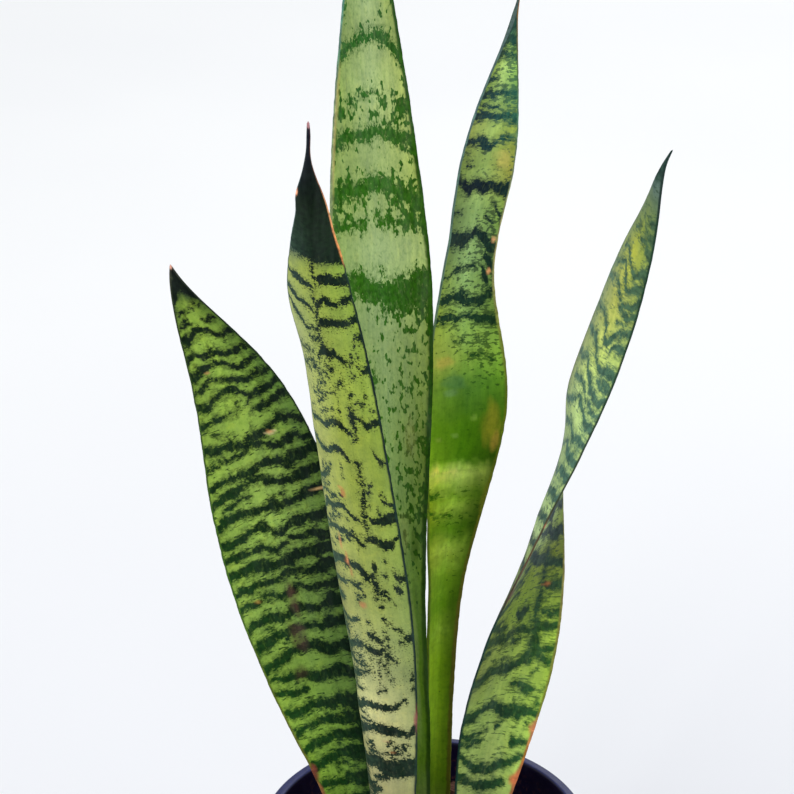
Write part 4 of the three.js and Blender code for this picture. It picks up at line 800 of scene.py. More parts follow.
C_BANDS = strokes("""
0.0:12:4 0.5:14:5 1:12:4
0.0:30:3.0 0.5:27:3.0 1:31:3.0
0.0:46:2.6 0.3:42:2.4 0.6:40:2.4 1:45:3.0
0.0:59:2.0 0.4:55:1.6 0.7:55:1.8 1:60:2.4
0.0:70:2.0 0.08:69:1.0
0.0:89:3.4 0.05:88:3 0.15:85.5:2.6 0.3:83:2.2 0.4:81.5:2.0 0.52:79.5:2.1 0.65:79:2.4 0.75:82:2.5 0.85:84:2.8 0.93:87:3.4 1:90:4
0.0:110:1.4 0.14:111:1.0
0.14:109:0.5 0.3:106:0.6 0.45:104:0.6 0.6:104:0.8 0.7:104:0.6
0.5:112:0.7 0.58:112:0.6
0.82:111:1.0 0.93:110:1.6 1:111:2.4
0.0:126:3.2 0.05:125:3 0.2:121.8:2.8 0.35:121:2.6 0.45:120.5:2.2 0.55:119:2.2 0.65:118.3:2.4 0.75:121:2.8 0.85:122:2.9 0.93:124:3.3 1:126:3.6
0.0:147:3.4 0.05:146:3.3 0.15:144.5:3.2 0.3:144.5:3.4 0.4:141.5:3.0 0.5:140.5:3.0 0.6:142.5:3.6 0.7:143.5:3.4 0.8:146:3.4 0.9:148:3.5 1:150:3.8
0.0:161:1.6 0.1:160:1.5 0.25:158:1.4 0.35:160:1.1 0.42:157:0.8
0.44:156:1.2 0.5:155.5:1.8 0.55:158.5:1.8 0.65:157:1.5 0.74:159:1.0
0.74:157:1.2 0.8:158:1.8 0.9:157:2.2 1:160:3
0.0:186:4.5 0.17:184:4 0.3:184:4.2 0.4:187:4.2 0.5:189:4.6 0.6:190:5.2 0.7:187.5:6 0.8:187:6.6 0.93:186:7.4 1:187:8
0.0:232:2.6 0.3:226:2.2 0.45:229:1.2
0.0:262:2.8 0.3:256:2.2 0.42:258:1.2
0.0:292:2.6 0.3:288:2.4 0.5:290:1.2
0.0:330:3 0.4:326:3 0.8:330:2
""")
C_LINES = strokes("""
176:0.50:0.9 184:0.505:1.4 200:0.505:0.5
""")
D_BANDS = strokes("""
0.0:27:2.6 0.5:26.5:2.2 0.9:27:2.0 1:28:2.4
0.0:33:1.6 0.4:33.5:1.1 0.8:34:1.2 1:34:1.6
0.0:44:1.6 0.2:44:1.3 0.42:44.5:0.6
0.0:51:1.8 0.3:51:1.5 0.6:50:1.0 1:51:2.0
0.0:57:0.9 0.3:56.5:0.8 0.6:57:0.5
0.0:61:2.0 0.25:61:1.8 0.5:61:1.4 0.8:61:1.4 1:61:2.4
0.0:71:1.2 0.2:71:1.5 0.35:72.3:2.2 0.5:74:1.9 0.62:72.5:1.2 0.75:70.5:1.0 1:70:1.5
0.0:78:1.0 0.2:77:0.6
0.08:83:0.5 0.25:82:0.4
0.0:89:1.6 0.1:90.5:1.8 0.25:92.5:2.3 0.4:92:2.1 0.55:93:2.3 0.7:91:1.7 0.85:93:2.5 1:94:3
0.7:99:0.5 0.8:101:0.6 0.9:105:0.8 1:107:1.0
0.66:104:0.4 0.8:108:0.6 0.9:112:0.9
0.0:103:0.6 0.2:104:0.4
0.0:114:2 0.1:115:2 0.3:115.5:2.5 0.45:115:2.1 0.6:114:1.7 0.7:115.5:1.8 0.78:117.5:2.2 0.86:120:2.4 1:121:2.4
0.78:123:1.2 0.86:126.5:2.2 0.94:129:1.8 1:130:1.4
0.74:127:1.6 0.82:133:3.0 0.9:135:2.4
0.0:132.5:1.0 0.1:132:0.9 0.25:129:1.2 0.4:128:0.8 0.55:127:0.8 0.72:126:1.1
0.0:143:1.2 0.2:141.5:2 0.4:140:2 0.55:142:2.2 0.65:143.3:1.9 0.75:145:2.3 0.85:141:2 1:139.5:1.6
0.0:150:1.0 0.18:149.5:2.3 0.3:150.5:1.8 0.42:149.5:1.2 0.55:150:1.0 0.65:151:1.6 0.75:153:2.4 0.85:150:1.6 1:153:2.2
0.3:158:0.6 0.45:160:0.8 0.55:158:0.6
0.62:162:0.7 0.72:160:0.8 0.84:163:0.8
0.5:166:0.5 0.62:168:0.7 0.75:167:0.6 0.9:170:0.8
0.0:229:0.8 0.2:228:0.6
0.0:237:0.7 0.3:239:0.8 0.5:240:0.6
""")
E_BANDS = strokes("""
0.0:31:1.4 0.2:31.5:1.1 0.35:30:0.6
0.0:38:1.8 0.2:37:1.2 0.42:32.5:0.8 0.6:30:0.5
0.0:46:2 0.12:43.5:1.7 0.22:40.5:1.3 0.38:40:0.9 0.52:36:0.8 0.7:36:0.6
0.0:52:1.8 0.1:51:1.8 0.25:55:1.6 0.4:52.5:1.2 0.5:49:1.2 0.65:46:1.0 0.85:48:0.9
0.0:58:1.8 0.2:59:1.5 0.3:61.5:1.3 0.45:58:1.3 0.6:53:1.2 0.8:54:1.0 1:58:1.0
0.0:65:1.6 0.2:66.5:1.8 0.35:67:1.3 0.5:63:1.3 0.7:60:1.0 1:64:1.0
0.0:70:1.2 0.2:72:1.6 0.35:70:1.4 0.45:68:0.8
0.0:77:1.6 0.2:79:1.5 0.3:85:2 0.4:86:1.7 0.5:80:1.3 0.65:76:1.2 0.9:77:1.0 1:79:1
0.0:85:1.4 0.15:84:1.2 0.25:88:1.4
0.1:74:0.5 0.25:76:0.7 0.36:76:0.6
0.0:95:1.6 0.2:95:1.7 0.35:97.5:1.7 0.5:93:1.5 0.65:88:1.8 0.85:87:1.2 1:89:1.2
0.0:100.5:1.6 0.2:100.5:1.6 0.35:101:1.0
0.0:106:1.2 0.25:108:1.8 0.4:105:1.5 0.6:98:1.3 0.75:98:1.6 1:101:1.4
0.0:112:1.0 0.2:113:1.2 0.35:111:0.8 0.6:107:1.2 0.85:108:1.2
0.0:118:1.6 0.2:119:1.7 0.35:116:1.2 0.5:112:1.2 0.7:117:1.5 1:119:1.4
0.0:125:1.2 0.25:128:1.7 0.4:128:1.5 0.55:124:1.2 0.8:127:1.4 1:129:1.4
0.0:133:1.3 0.3:134:1.8 0.45:132:1.3 0.65:136:1.5 0.9:137:1.5
0.0:141:1.7 0.3:142:1.7 0.5:146:1.5 0.7:146:1.4 0.9:148:1.7 1:149:1.6
0.0:150:1.5 0.3:152:1.7 0.5:157:1.5 0.7:158:1.7 1:158:1.8
0.0:161:1.6 0.3:164:1.5 0.55:168:1.7 0.75:172:2.3 0.85:168:2 1:170:1.8
0.0:173:1.6 0.3:175:1.4 0.5:178:1.6 0.62:180:1.7 0.75:180:2.5 0.9:182:1.7 1:182:1.8
0.0:186:1.6 0.2:184:1.4 0.4:187:2.3 0.55:190:2.3 0.65:193:2.5 0.8:194:1.9 1:197:1.6
0.0:199:1.4 0.2:197:1.2 0.35:198:1.0
0.0:212:2 0.12:209:1.8 0.25:207:1.3 0.4:206:0.8
0.76:205:1.4 0.86:208:1.8 1:207:2.2
0.44:217.5:2.0 0.55:220:2.5 0.66:218:1.5
0.0:219:1.5 0.1:221:1.9 0.2:224:1.2
0.78:219:1.2 0.88:220.5:1.4 1:220:1.4
0.0:229:1.6 0.2:229:2.1 0.35:231:1.7 0.5:227:1.4 0.65:230:1.6 0.8:228:1.6 1:226:1.5
0.74:236:2.3 0.85:238:1.9 1:236:1.6
0.0:251:2 0.1:249:2 0.2:247:2.3 0.35:246:2.3 0.5:247.5:2.3 0.65:244:2.1 0.78:240:2 0.9:243:1.5 1:244:1.6
0.55:256:0.9 0.66:256.5:1.5 0.8:258:1.9 0.9:257:1.2
0.0:271:2.5 0.15:269.5:2.3 0.28:268:1.9 0.35:265:2.1 0.5:268:2.5 0.62:270:3.1 0.78:271:3.1 0.88:267:1.7 1:268:1.4
0.46:278:1.6 0.55:277:1.4 0.62:275.5:0.9
0.74:284:1.2 0.8:285.5:2 0.9:284:1.3 1:284:1.2
0.0:291:2 0.15:296:2.1 0.3:299:1.9 0.5:302:2.1 0.62:300:2.5 0.75:297:2.1 0.9:293:1.5 1:292:1.4
0.0:302:1.7 0.2:306:1.7 0.35:308.5:2.1 0.5:310.5:2.5 0.7:309:2.2 0.85:306:1.4
0.0:318:2 0.5:322:2.6 1:319:2.2
0.0:331:2 0.5:335:2.6 1:332:2.2
0.0:345:1.8 0.5:348:2.2 1:345:2.0
""")
E_LINES = strokes("""
186:0.735:1.4 196:0.740:1.7 206:0.745:1.3 216:0.745:1.7 226:0.745:1.9 236:0.745:1.9 246:0.74:1.2
262:0.70:0.5 276:0.69:0.5
""")

LOOKS = {
    "leaf_left": dict(
        seed=11, bands=A_BANDS, fat=lambda u, v: 1.25 - 0.35 * smooth(u, 0.76, 0.92), rag=4.8, rag_big=2.8, halo=0.5, halo_w=2.4, reach=4.0, near=0.10, grain=(1.9, 1.7), soft=1.15, warp=1.4, tint=(1.08, 0.97, 0.98), mott=0.42, warm=0.4,
        gain=[(0, 1, 1, 1), (20, 1.0, 1.15, 1.0), (40, 1.25, 1.3, 1.0), (60, 1.1, 1.12, 1.1), (90, 1.25, 1.05, 1.1), (110, 1.42, 1.2, 1.0), (130, 1.3, 1.35, 1.0), (150, 1.5, 0.95, 1.1), (180, 1.5, 1.0, 1.0), (200, 1.15, 1.05, 1.1), (230, 1.6, 1.25, 1.1), (270, 1.45, 1.3, 1.0), (325, 1.2, 1.2, 1.0)],
        dashes=[(0.15, 0.75, 63, 82, 12, 7.0, 0.9, 0.15), (0.05, 0.9, 18, 31, 9, 6.0, 0.8, 0.12), (0.1, 0.7, 94, 260, 26, 6.0, 0.9, 0.2)], wave=0.45, cap=(-1.0, lambda u: np.interp(u, [0, 0.3, 0.6, 1.0], [19.0, 13.0, 12.0, 20.0])),
        ground=[(0, (20, 34, 24), (24, 40, 26), (14, 26, 18)), (6, (150, 175, 120), (120, 150, 90), (40, 60, 30)), (14, (60, 80, 40), (60, 84, 40), (30, 50, 24)),
                (20, (110, 145, 55), (128, 162, 62), (70, 100, 40)), (60, (118, 152, 60), (128, 165, 66), (84, 122, 50)), (110, (116, 150, 60), (126, 160, 72), (76, 108, 46)),
                (170, (114, 148, 60), (112, 148, 68), (56, 88, 40)), (230, (114, 150, 54), (104, 142, 56), (40, 68, 32)), (270, (104, 140, 42), (96, 134, 52), (50, 84, 40)), (325, (120, 145, 80), (110, 140, 70), (90, 120, 60))],
        dark=[(0, (6, 12, 10), (6, 12, 10), (4, 8, 8)), (60, (14, 32, 14), (12, 28, 14), (6, 18, 10)), (160, (18, 46, 16), (10, 26, 14), (4, 14, 10)), (260, (20, 54, 14), (14, 40, 16), (4, 12, 8)), (325, (24, 50, 20), (24, 46, 24), (14, 30, 18))],
        margins=[(0, [(0, 0.25, (44, 44, 38)), (20, 0.5, (34, 46, 26)), (160, 0.7, (60, 92, 30)), (240, 0.9, (92, 96, 34)), (325, 1.0, (96, 70, 40))]),
                 (1, [(0, 0.25, (40, 42, 38)), (40, 0.8, (24, 40, 22)), (325, 1.0, (20, 36, 20))])],
        patches=[(0.66, 87.4, 2.6, 0.9, (206, 190, 140), 0.95), (0.655, 86.6, 1.0, 0.7, (222, 140, 90), 0.8), (0.9, 119.3, 4.6, 0.55, (196, 160, 110), 0.9),
                 (0.25, 51.3, 1.5, 0.6, (190, 130, 90), 0.7), (0.17, 163.5, 1.5, 0.7, (190, 140, 70), 0.7), (0.42, 186, 4.5, 8, (62, 42, 40), 0.6), (0.46, 168, 2.2, 9, (76, 48, 44), 0.5),
                 (0.33, 204, 3.5, 4.5, (58, 40, 34), 0.5), (0.02, 254, 2.0, 5, (110, 50, 46), 0.85), (0.01, 264, 1.3, 5, (150, 84, 60), 0.6), (0.3, 0.2, 1.0, 1.1, (206, 150, 140), 0.8)],
        fleck=[(0, 0), (20, 0.15), (40, 0.3), (90, 0.4), (300, 0.45)], fleck_size=(3.4, 1.2), streak=0.5, cloud=0.7, bloom=0.02, rough=0.55, spec=0.04, show=0.2),
    "leaf_front": dict(
        seed=23, bands=B_BANDS, lines=B_LINES, fat=lambda u, v: 1.15, rag=5.2, rag_big=3.0, halo=0.40, halo_w=1.6, reach=6.0, near=0.12, grain=(0.95, 1.0), soft=0.25, warp=0.9, 
        mott=0.22, warm=0.25, dashes=[(0.05, 0.40, 99, 134, 16, 6.0, 0.6, 0.5), (0.42, 0.95, 99, 134, 22, 2.4, 0.7, 0.3), (0.05, 0.3, 158, 205, 16, 6.0, 0.8, 0.3), (0.3, 0.95, 160, 184, 16, 2.0, 0.6, 0.5), (0.3, 0.6, 186, 232, 14, 2.4, 0.7, 0.4),
                (0.62, 0.97, 205, 232, 12, 2.4, 0.7, 0.3), (0.0, 0.25, 212, 300, 22, 7.0, 0.9, 0.15), (0.25, 0.97, 236, 277, 34, 2.6, 0.75, 0.2), (0.2, 0.9, 302, 311, 14, 4.0, 0.8, 0.1), (0.0, 0.5, 320, 334, 10, 6.0, 1.2, 0.1)],
        gain=[(0, 0.8, 0.8, 0.8), (60, 0.85, 0.8, 0.95), (80, 1.0, 0.82, 0.80), (100, 1.02, 0.84, 0.85), (130, 1.18, 0.98, 0.98), (150, 1.08, 0.86, 0.80), (175, 1.15, 0.86, 0.85), (200, 1.12, 0.88, 0.92), (225, 0.85, 0.85, 0.82), (245, 0.86, 1.04, 0.88), (268, 1.22, 1.0, 0.78), (284, 1.42, 1.32, 0.84), (292, 1.1, 1.1, 0.95), (310, 0.85, 0.9, 1.05), (330, 0.82, 0.82, 0.92)], wave=0.25, cap=(-1.0, lambda u: np.interp(u, [0, 0.2, 0.45, 0.5, 0.9, 1.0], [57.5, 58.5, 60.0, 61.5, 62.5, 63.0])),
        # the tip is a real dark cap; the bluish cast of its ground, dark and margin colours is a painted sheen
        ground=[(0, (40, 50, 60), (30, 36, 56), (30, 36, 56)), (30, (44, 66, 50), (30, 44, 34), (60, 66, 74)), (55, (92, 112, 98), (60, 84, 60), (56, 76, 50)), (66, (168, 182, 100), (166, 184, 78), (144, 176, 72)),
                (95, (166, 176, 122), (154, 172, 78), (144, 172, 68)), (130, (176, 182, 118), (154, 170, 70), (142, 166, 66)), (180, (180, 184, 114), (156, 170, 76), (142, 166, 68)),
                (230, (178, 180, 114), (156, 168, 90), (142, 164, 84)), (265, (172, 176, 120), (158, 164, 108), (140, 156, 94)), (290, (190, 190, 132), (184, 182, 124), (158, 166, 108)), (330, (184, 180, 126), (180, 178, 124), (160, 164, 108)), (399, (200, 196, 150), (196, 192, 146), (180, 180, 130))],
        dark=[(0, (14, 14, 30), (10, 10, 28), (14, 14, 30)), (18, (12, 18, 28), (7, 12, 16), (10, 17, 16)), (34, (13, 26, 15), (6, 18, 7), (10, 23, 10)), (50, (34, 52, 42), (9, 25, 12), (11, 27, 12)), (66, (40, 58, 54), (12, 24, 20), (14, 30, 22)),
              (150, (60, 80, 72), (12, 24, 18), (14, 28, 18)), (230, (62, 82, 72), (14, 26, 20), (16, 30, 20)), (300, (40, 58, 50), (14, 26, 20), (16, 32, 22)), (399, (60, 76, 60), (30, 46, 36), (30, 46, 36))],
        margins=[(0, [(0, 0.5, (20, 22, 36)), (50, 0.5, (60, 84, 84)), (120, 0.7, (110, 130, 110)), (400, 0.8, (96, 116, 90))]),
                 (1, [(0, 0.5, (26, 26, 44)), (28, 0.35, (150, 104, 84)), (36, 0.5, (190, 136, 100)), (48, 0.75, (214, 140, 90)), (60, 0.6, (190, 124, 76)), (66, 0.55, (22, 40, 36)), (100, 0.9, (18, 34, 32)), (200, 1.1, (20, 40, 36)), (281, 1.0, (24, 42, 38)), (287, 0.9, (104, 62, 52)), (295, 0.9, (92, 60, 54)), (301, 1.1, (30, 46, 40)), (400, 1.1, (40, 60, 46))])],
        patches=[(0.02, 29.5, 0.8, 1.8, (232, 160, 132), 0.85), (0.5, 0.2, 0.8, 1.6, (196, 140, 150), 0.5), (0.395, 173.5, 0.8, 2.6, (176, 100, 70), 0.75), (0.36, 171, 1.2, 1.0, (196, 132, 80), 0.6), (0.41, 230, 1.5, 1.8, (196, 124, 84), 0.7), (0.24, 199, 0.5, 4.0, (206, 146, 96), 0.7), (0.29, 207, 0.6, 3.6, (196, 126, 86), 0.75),
                 (0.33, 214, 0.6, 2.6, (190, 116, 80), 0.5), (0.97, 291, 0.9, 4.0, (146, 92, 80), 0.8), (0.6, 308, 1.2, 0.8, (170, 110, 70), 0.5), (0.5, 302, 1.8, 0.9, (180, 140, 104), 0.4)],
        fleck=[(0, 0.3), (60, 0.5), (66, 0.12), (98, 0.35), (112, 0.5), (130, 0.35), (150, 0.18), (200, 0.18), (214, 0.35), (235, 0.25), (248, 0.5), (272, 0.46), (280, 0.12), (286, 0.08), (330, 0.2), (400, 0.2)], fleck_size=(0.8, 0.8),
        fleck_u=[(0, 1.1), (0.3, 1.0), (0.6, 0.8), (1, 1.0)], streak=0.45, cloud=0.65, fine=0.4, bloom=0.03, rough=0.55, spec=0.04, show=0.15),
    "leaf_center": dict(
        seed=37, bands=C_BANDS, lines=C_LINES, fat=lambda u, v: 1.15, rag=10.5, rag_big=6.5, halo=0.42, halo_w=3.2, reach=9.0, near=0.12, grain=(1.0, 2.2), soft=0.42, warp=1.0, tint=(1.03, 0.97, 0.86), mott=0.50, mott_size=(1.2, 2.6), warm=0.25,
        gain=[(0, 0.9, 0.95, 0.95), (66, 0.85, 0.95, 0.9), (80, 0.62, 0.82, 0.78), (100, 0.92, 1.0, 1.05), (125, 0.82, 0.85, 1.05), (145, 0.98, 0.85, 1.1), (168, 0.93, 0.92, 1.0), (185, 0.80, 1.02, 1.12), (210, 0.85, 0.85, 0.82), (230, 0.78, 0.92, 0.86), (250, 0.9, 0.98, 0.74), (270, 0.88, 1.04, 0.74), (300, 0.92, 1.05, 1.0), (360, 1.1, 1.1, 1.15), (400, 1.3, 1.3, 1.5), (494, 1.3, 1.3, 1.5)], wave=0.3,
        ground=[(0, (40, 80, 40), (60, 100, 60), (40, 80, 40)), (60, (142, 172, 106), (160, 186, 134), (146, 172, 94)), (100, (140, 168, 92), (160, 186, 130), (156, 176, 98)), (150, (138, 168, 86), (156, 184, 122), (152, 174, 90)),
                (168, (142, 172, 98), (166, 194, 140), (158, 182, 112)), (200, (140, 172, 96), (162, 192, 134), (140, 166, 82)), (250, (130, 160, 90), (154, 188, 118), (118, 146, 60)), (300, (122, 156, 84), (142, 180, 104), (98, 132, 46)), (350, (90, 136, 44), (112, 154, 62), (78, 116, 26)), (420, (74, 118, 30), (98, 140, 44), (72, 106, 20)), (494, (150, 165, 110), (150, 165, 110), (140, 155, 100))],
        dark=[(0, (34, 66, 24), (34, 66, 30), (30, 66, 20)), (70, (34, 76, 26), (36, 78, 32), (28, 64, 14)), (130, (30, 70, 8), (40, 82, 22), (32, 66, 6)), (160, (34, 76, 8), (40, 84, 16), (34, 68, 8)), (190, (44, 84, 8), (40, 84, 20), (32, 62, 4)), (250, (46, 84, 18), (50, 92, 24), (44, 72, 12)), (350, (34, 74, 20), (40, 84, 24), (24, 54, 8)), (494, (50, 84, 36), (60, 94, 44), (44, 70, 30))],
        margins=[(0, [(0, 0.8, (40, 80, 50)), (60, 0.8, (70, 116, 110)), (165, 1.3, (120, 130, 84)), (200, 1.4, (100, 120, 70)), (494, 1.2, (60, 90, 40))]),
                 (1, [(0, 0.8, (30, 64, 18)), (70, 1.3, (30, 66, 12)), (160, 1.9, (34, 68, 6)), (220, 2.2, (28, 62, 2)), (300, 1.9, (30, 60, 6)), (350, 1.4, (44, 76, 12)), (494, 1.2, (50, 80, 16))])],
        # painted highlight: the first stripe, a pale green line down the lower stalk
        patches=[(0.03, 120, 0.7, 34, (176, 156, 96), 0.5), (0.78, 255, 3, 10, (166, 156, 90), 0.2), (0.7, 300, 3, 12, (166, 160, 100), 0.2), (0.86, 305, 2, 8, (40, 70, 10), 0.5)], stripes=[([(318, 0.74, 0.0), (332, 0.79, 0.45), (350, 0.84, 0.6), (385, 0.84, 0.55), (405, 0.82, 0.25), (420, 0.8, 0.0)], 1.3, (150, 172, 96), 1.0), ([(330, 0.96, 0.0), (350, 0.96, 0.6), (400, 0.97, 0.7), (450, 0.97, 0.5)], 0.8, (30, 50, 10), 1.0)],
        fleck=[(0, 0.3), (60, 0.42), (92, 0.28), (98, 0.42), (106, 0.6), (114, 0.55), (128, 0.35), (136, 0.5), (150, 0.62), (160, 0.66), (165, 0.15), (178, 0.2), (196, 0.75), (205, 0.62), (225, 0.60), (250, 0.7), (300, 0.7), (330, 0.35), (350, 0.1), (494, 0.05)], fleck_size=(2.0, 4.6), fleck_depth=1.0,
        fleck_u=[(0, 1.1), (0.3, 0.8), (0.45, 0.7), (0.6, 0.95), (0.75, 1.2), (1, 1.25)], streak=0.7, cloud=0.5, fine=0.35, bloom=0.05, bloom_col=(0.46, 0.58, 0.42), rough=0.55, spec=0.04, show=0.35),
    "leaf_back_right": dict(
        seed=53, bands=D_BANDS, fat=lambda u, v: 1.22 + 0.30 * smooth(v, 80, 92) * (1 - smooth(v, 120, 130)), rag=5.6, rag_big=3.8, halo=0.42, halo_w=2.2, reach=6.0, near=0.10, grain=(2.4, 1.1), soft=0.9, warp=1.3,
        
        # painted light: the gain of up to 2.6 along the lower blade and the bright yellow-green ground there paint the
        # glow of light shining through the leaf; the brightening near v 24 to 52 is a painted highlight
        tint=(1.02, 1.0, 0.9), gain=[(0, 1, 1, 1), (24, 1.4, 1.9, 2.2), (40, 0.95, 1.5, 1.6), (60, 1.0, 1.15, 0.92), (80, 0.68, 1.05, 1.1), (110, 0.66, 1.25, 1.25), (135, 1.0, 1.55, 1.05), (150, 1.3, 1.6, 1.2), (170, 1.4, 1.45, 2.2), (190, 1.5, 1.15, 1.5), (206, 1.55, 1.4, 1.0), (220, 1.75, 1.45, 0.9),
              (240, 1.35, 1.4, 0.8), (258, 1.25, 1.6, 1.7), (290, 1.8, 1.8, 1.7), (310, 2.2, 1.9, 1.7), (335, 2.4, 1.9, 2.4), (370, 2.0, 1.7, 2.6)],
        light=[(0.0, 1.0, 66, 69.5, 1.0, 0.4), (0.05, 0.85, 84, 88, 1.0, 0.3), (0.03, 0.9, 97, 101, 1.0, 0.3), (0.05, 0.9, 214, 220, 1.2, 0.8), (0.05, 0.75, 221.5, 225, 0.9, 0.5), (0.1, 0.75, 232, 238, 1.4, 0.7), (0.05, 0.9, 251, 256, 1.3, 0.6), (0.1, 0.9, 262, 266, 1.0, 0.4), (0.1, 0.85, 293, 297, 1.2, 0.35), (0.1, 0.7, 276, 279, 0.9, 0.3)], wave=0.35, cap=(-1.0, lambda u: np.interp(u, [0, 0.3, 0.7, 1.0], [24.5, 22.5, 21.0, 22.5])), mott=0.4, warm=0.3,
        ground=[(0, (30, 70, 60), (30, 76, 66), (26, 60, 56)), (22, (36, 80, 70), (40, 86, 74), (70, 70, 50)), (26, (60, 80, 50), (110, 140, 70), (60, 90, 40)), (38, (140, 164, 78), (160, 190, 112), (110, 150, 70)), (52, (120, 150, 70), (140, 170, 100), (86, 130, 80)), (66, (156, 170, 90), (150, 176, 100), (140, 160, 70)),
                (84, (130, 156, 84), (144, 170, 96), (150, 150, 66)), (104, (120, 148, 90), (134, 164, 100), (112, 144, 66)), (124, (118, 144, 78), (132, 164, 106), (96, 126, 60)), (150, (140, 164, 60), (124, 156, 84), (96, 126, 52)), (168, (150, 160, 70), (120, 152, 64), (96, 128, 44)),
                (180, (104, 136, 44), (80, 124, 44), (64, 100, 20)), (200, (98, 140, 24), (70, 116, 12), (56, 92, 8)), (214, (110, 146, 30), (66, 112, 10), (50, 84, 6)), (220, (176, 190, 70), (160, 184, 90), (116, 136, 50)), (230, (120, 150, 30), (112, 150, 40), (64, 96, 16)), (236, (140, 160, 30), (136, 166, 60), (56, 86, 12)),
                (246, (110, 146, 24), (86, 130, 22), (48, 76, 8)), (256, (150, 170, 50), (146, 172, 66), (64, 92, 14)), (268, (116, 150, 34), (110, 148, 34), (60, 86, 14)), (282, (96, 134, 20), (90, 130, 20), (52, 76, 12)), (294, (112, 146, 28), (120, 150, 44), (60, 84, 14)), (310, (110, 140, 24), (110, 144, 24), (52, 76, 10)),
                (345, (92, 124, 20), (110, 140, 30), (62, 84, 14)), (370, (70, 100, 16), (84, 112, 20), (70, 96, 16)), (428, (140, 150, 80), (140, 150, 80), (120, 130, 60))],
        dark=[(0, (24, 60, 54), (22, 62, 56), (18, 50, 48)), (24, (30, 50, 40), (30, 60, 50), (26, 56, 50)), (60, (26, 40, 44), (30, 60, 62), (40, 84, 70)), (92, (12, 26, 34), (12, 24, 34), (14, 34, 34)), (150, (24, 50, 30), (20, 44, 34), (16, 40, 20)), (200, (50, 92, 10), (44, 84, 8), (36, 64, 4)), (300, (54, 86, 12), (50, 84, 10), (34, 54, 6)), (428, (60, 84, 20), (60, 84, 20), (50, 70, 14))],
        margins=[(0, [(0, 0.5, (60, 70, 70)), (60, 0.8, (84, 110, 110)), (140, 0.9, (90, 116, 100)), (200, 0.8, (110, 130, 40)), (428, 0.9, (90, 110, 20))]),
                 (1, [(0, 0.5, (150, 90, 60)), (24, 0.7, (100, 90, 50)), (60, 0.9, (70, 110, 90)), (120, 1.2, (150, 140, 96)), (160, 1.4, (110, 120, 50)), (190, 1.2, (90, 106, 20)), (300, 1.5, (110, 104, 40)), (428, 1.4, (84, 96, 20))])],
        patches=[(0.80, 80, 3.6, 4.2, (196, 186, 96), 0.7), (0.68, 78, 3.0, 2.0, (176, 180, 96), 0.5), (0.92, 117, 1.4, 1.4, (214, 156, 110), 0.8), (0.9, 131, 1.4, 1.2, (204, 140, 96), 0.8), (0.84, 197, 3.6, 11, (150, 142, 40), 0.6), (0.92, 206, 2.0, 6, (170, 140, 54), 0.6), (0.74, 198, 2.0, 5, (110, 130, 26), 0.4),
                 (0.2, 169, 4.5, 2.4, (196, 178, 80), 0.7), (0.35, 178, 6.0, 4.0, (84, 130, 70), 0.7), (0.3, 183, 4, 2, (120, 156, 110), 0.4), (0.62, 195, 1.5, 1.2, (126, 164, 60), 0.8), (0.38, 202.5, 2.0, 0.8, (130, 170, 70), 0.8), (0.15, 203.5, 1.6, 0.8, (140, 170, 60), 0.8), (0.95, 232, 1.0, 8, (120, 120, 36), 0.4)],
        fleck=[(0, 0), (26, 0.75), (50, 0.7), (66, 0.45), (84, 0.6), (98, 0.45), (110, 0.6), (150, 0.6), (160, 0.62), (176, 0.6), (186, 0.35), (212, 0.4), (220, 0.25), (230, 0.6), (250, 0.5), (300, 0.2), (430, 0)], fleck_size=(3.0, 1.5), fleck_depth=0.75,
        fleck_u=[(0, 0.7), (0.4, 0.9), (0.7, 1.2), (1, 1.2)], streak=0.6, cloud=0.6, fine=0.15, bloom=0.0, rough=0.5, spec=0.04, show=0.2),
    "leaf_right": dict(
        seed=71, bands=E_BANDS, lines=E_LINES, fat=lambda u, v: 1.35 + 0.1 * smooth(v, 165, 185) + 0.35 * (1 - smooth(u, 0.12, 0.3)) * (1 - smooth(v, 150, 175)), rag=4.6, rag_big=3.0, halo=0.5, halo_w=2.4, reach=5.0, near=0.10, grain=(2.0, 1.6), soft=1.3, warp=1.4, mott=0.45, warm=0.3,
        dashes=[(0.02, 0.55, 190, 245, 14, 9.0, 1.1, 0.12), (0.1, 0.85, 278, 290, 4, 12.0, 1.1, 0.1), (0.8, 0.98, 190, 300, 14, 4.0, 0.9, 0.2)],
        
        tint=(1.05, 0.98, 0.97), gain=[(0, 1.2, 1.2, 1.6), (30, 1.25, 1.0, 1.1), (60, 1.4, 1.6, 1.15), (100, 1.55, 1.8, 1.1), (115, 1.6, 1.75, 1.0), (130, 1.5, 1.15, 1.6), (150, 1.5, 1.1, 0.95), (165, 1.6, 1.6, 1.2), (190, 1.2, 0.95, 0.85), (210, 1.2, 1.0, 1.15), (230, 1.4, 1.0, 1.95), (250, 0.95, 1.35, 1.5), (270, 1.85, 1.38, 1.9), (290, 2.0, 1.25, 1.95), (320, 1.6, 1.25, 1.7)], wave=0.25, cap=(-1.0, 14.0), patch_side=0,
        ground=[(0, (50, 70, 76), (44, 66, 70), (40, 60, 66)), (16, (74, 96, 90), (80, 104, 96), (70, 92, 86)), (30, (90, 116, 70), (120, 142, 74), (110, 134, 100)), (45, (120, 144, 66), (156, 166, 66), (120, 142, 104)), (70, (136, 156, 78), (150, 158, 76), (124, 144, 112)),
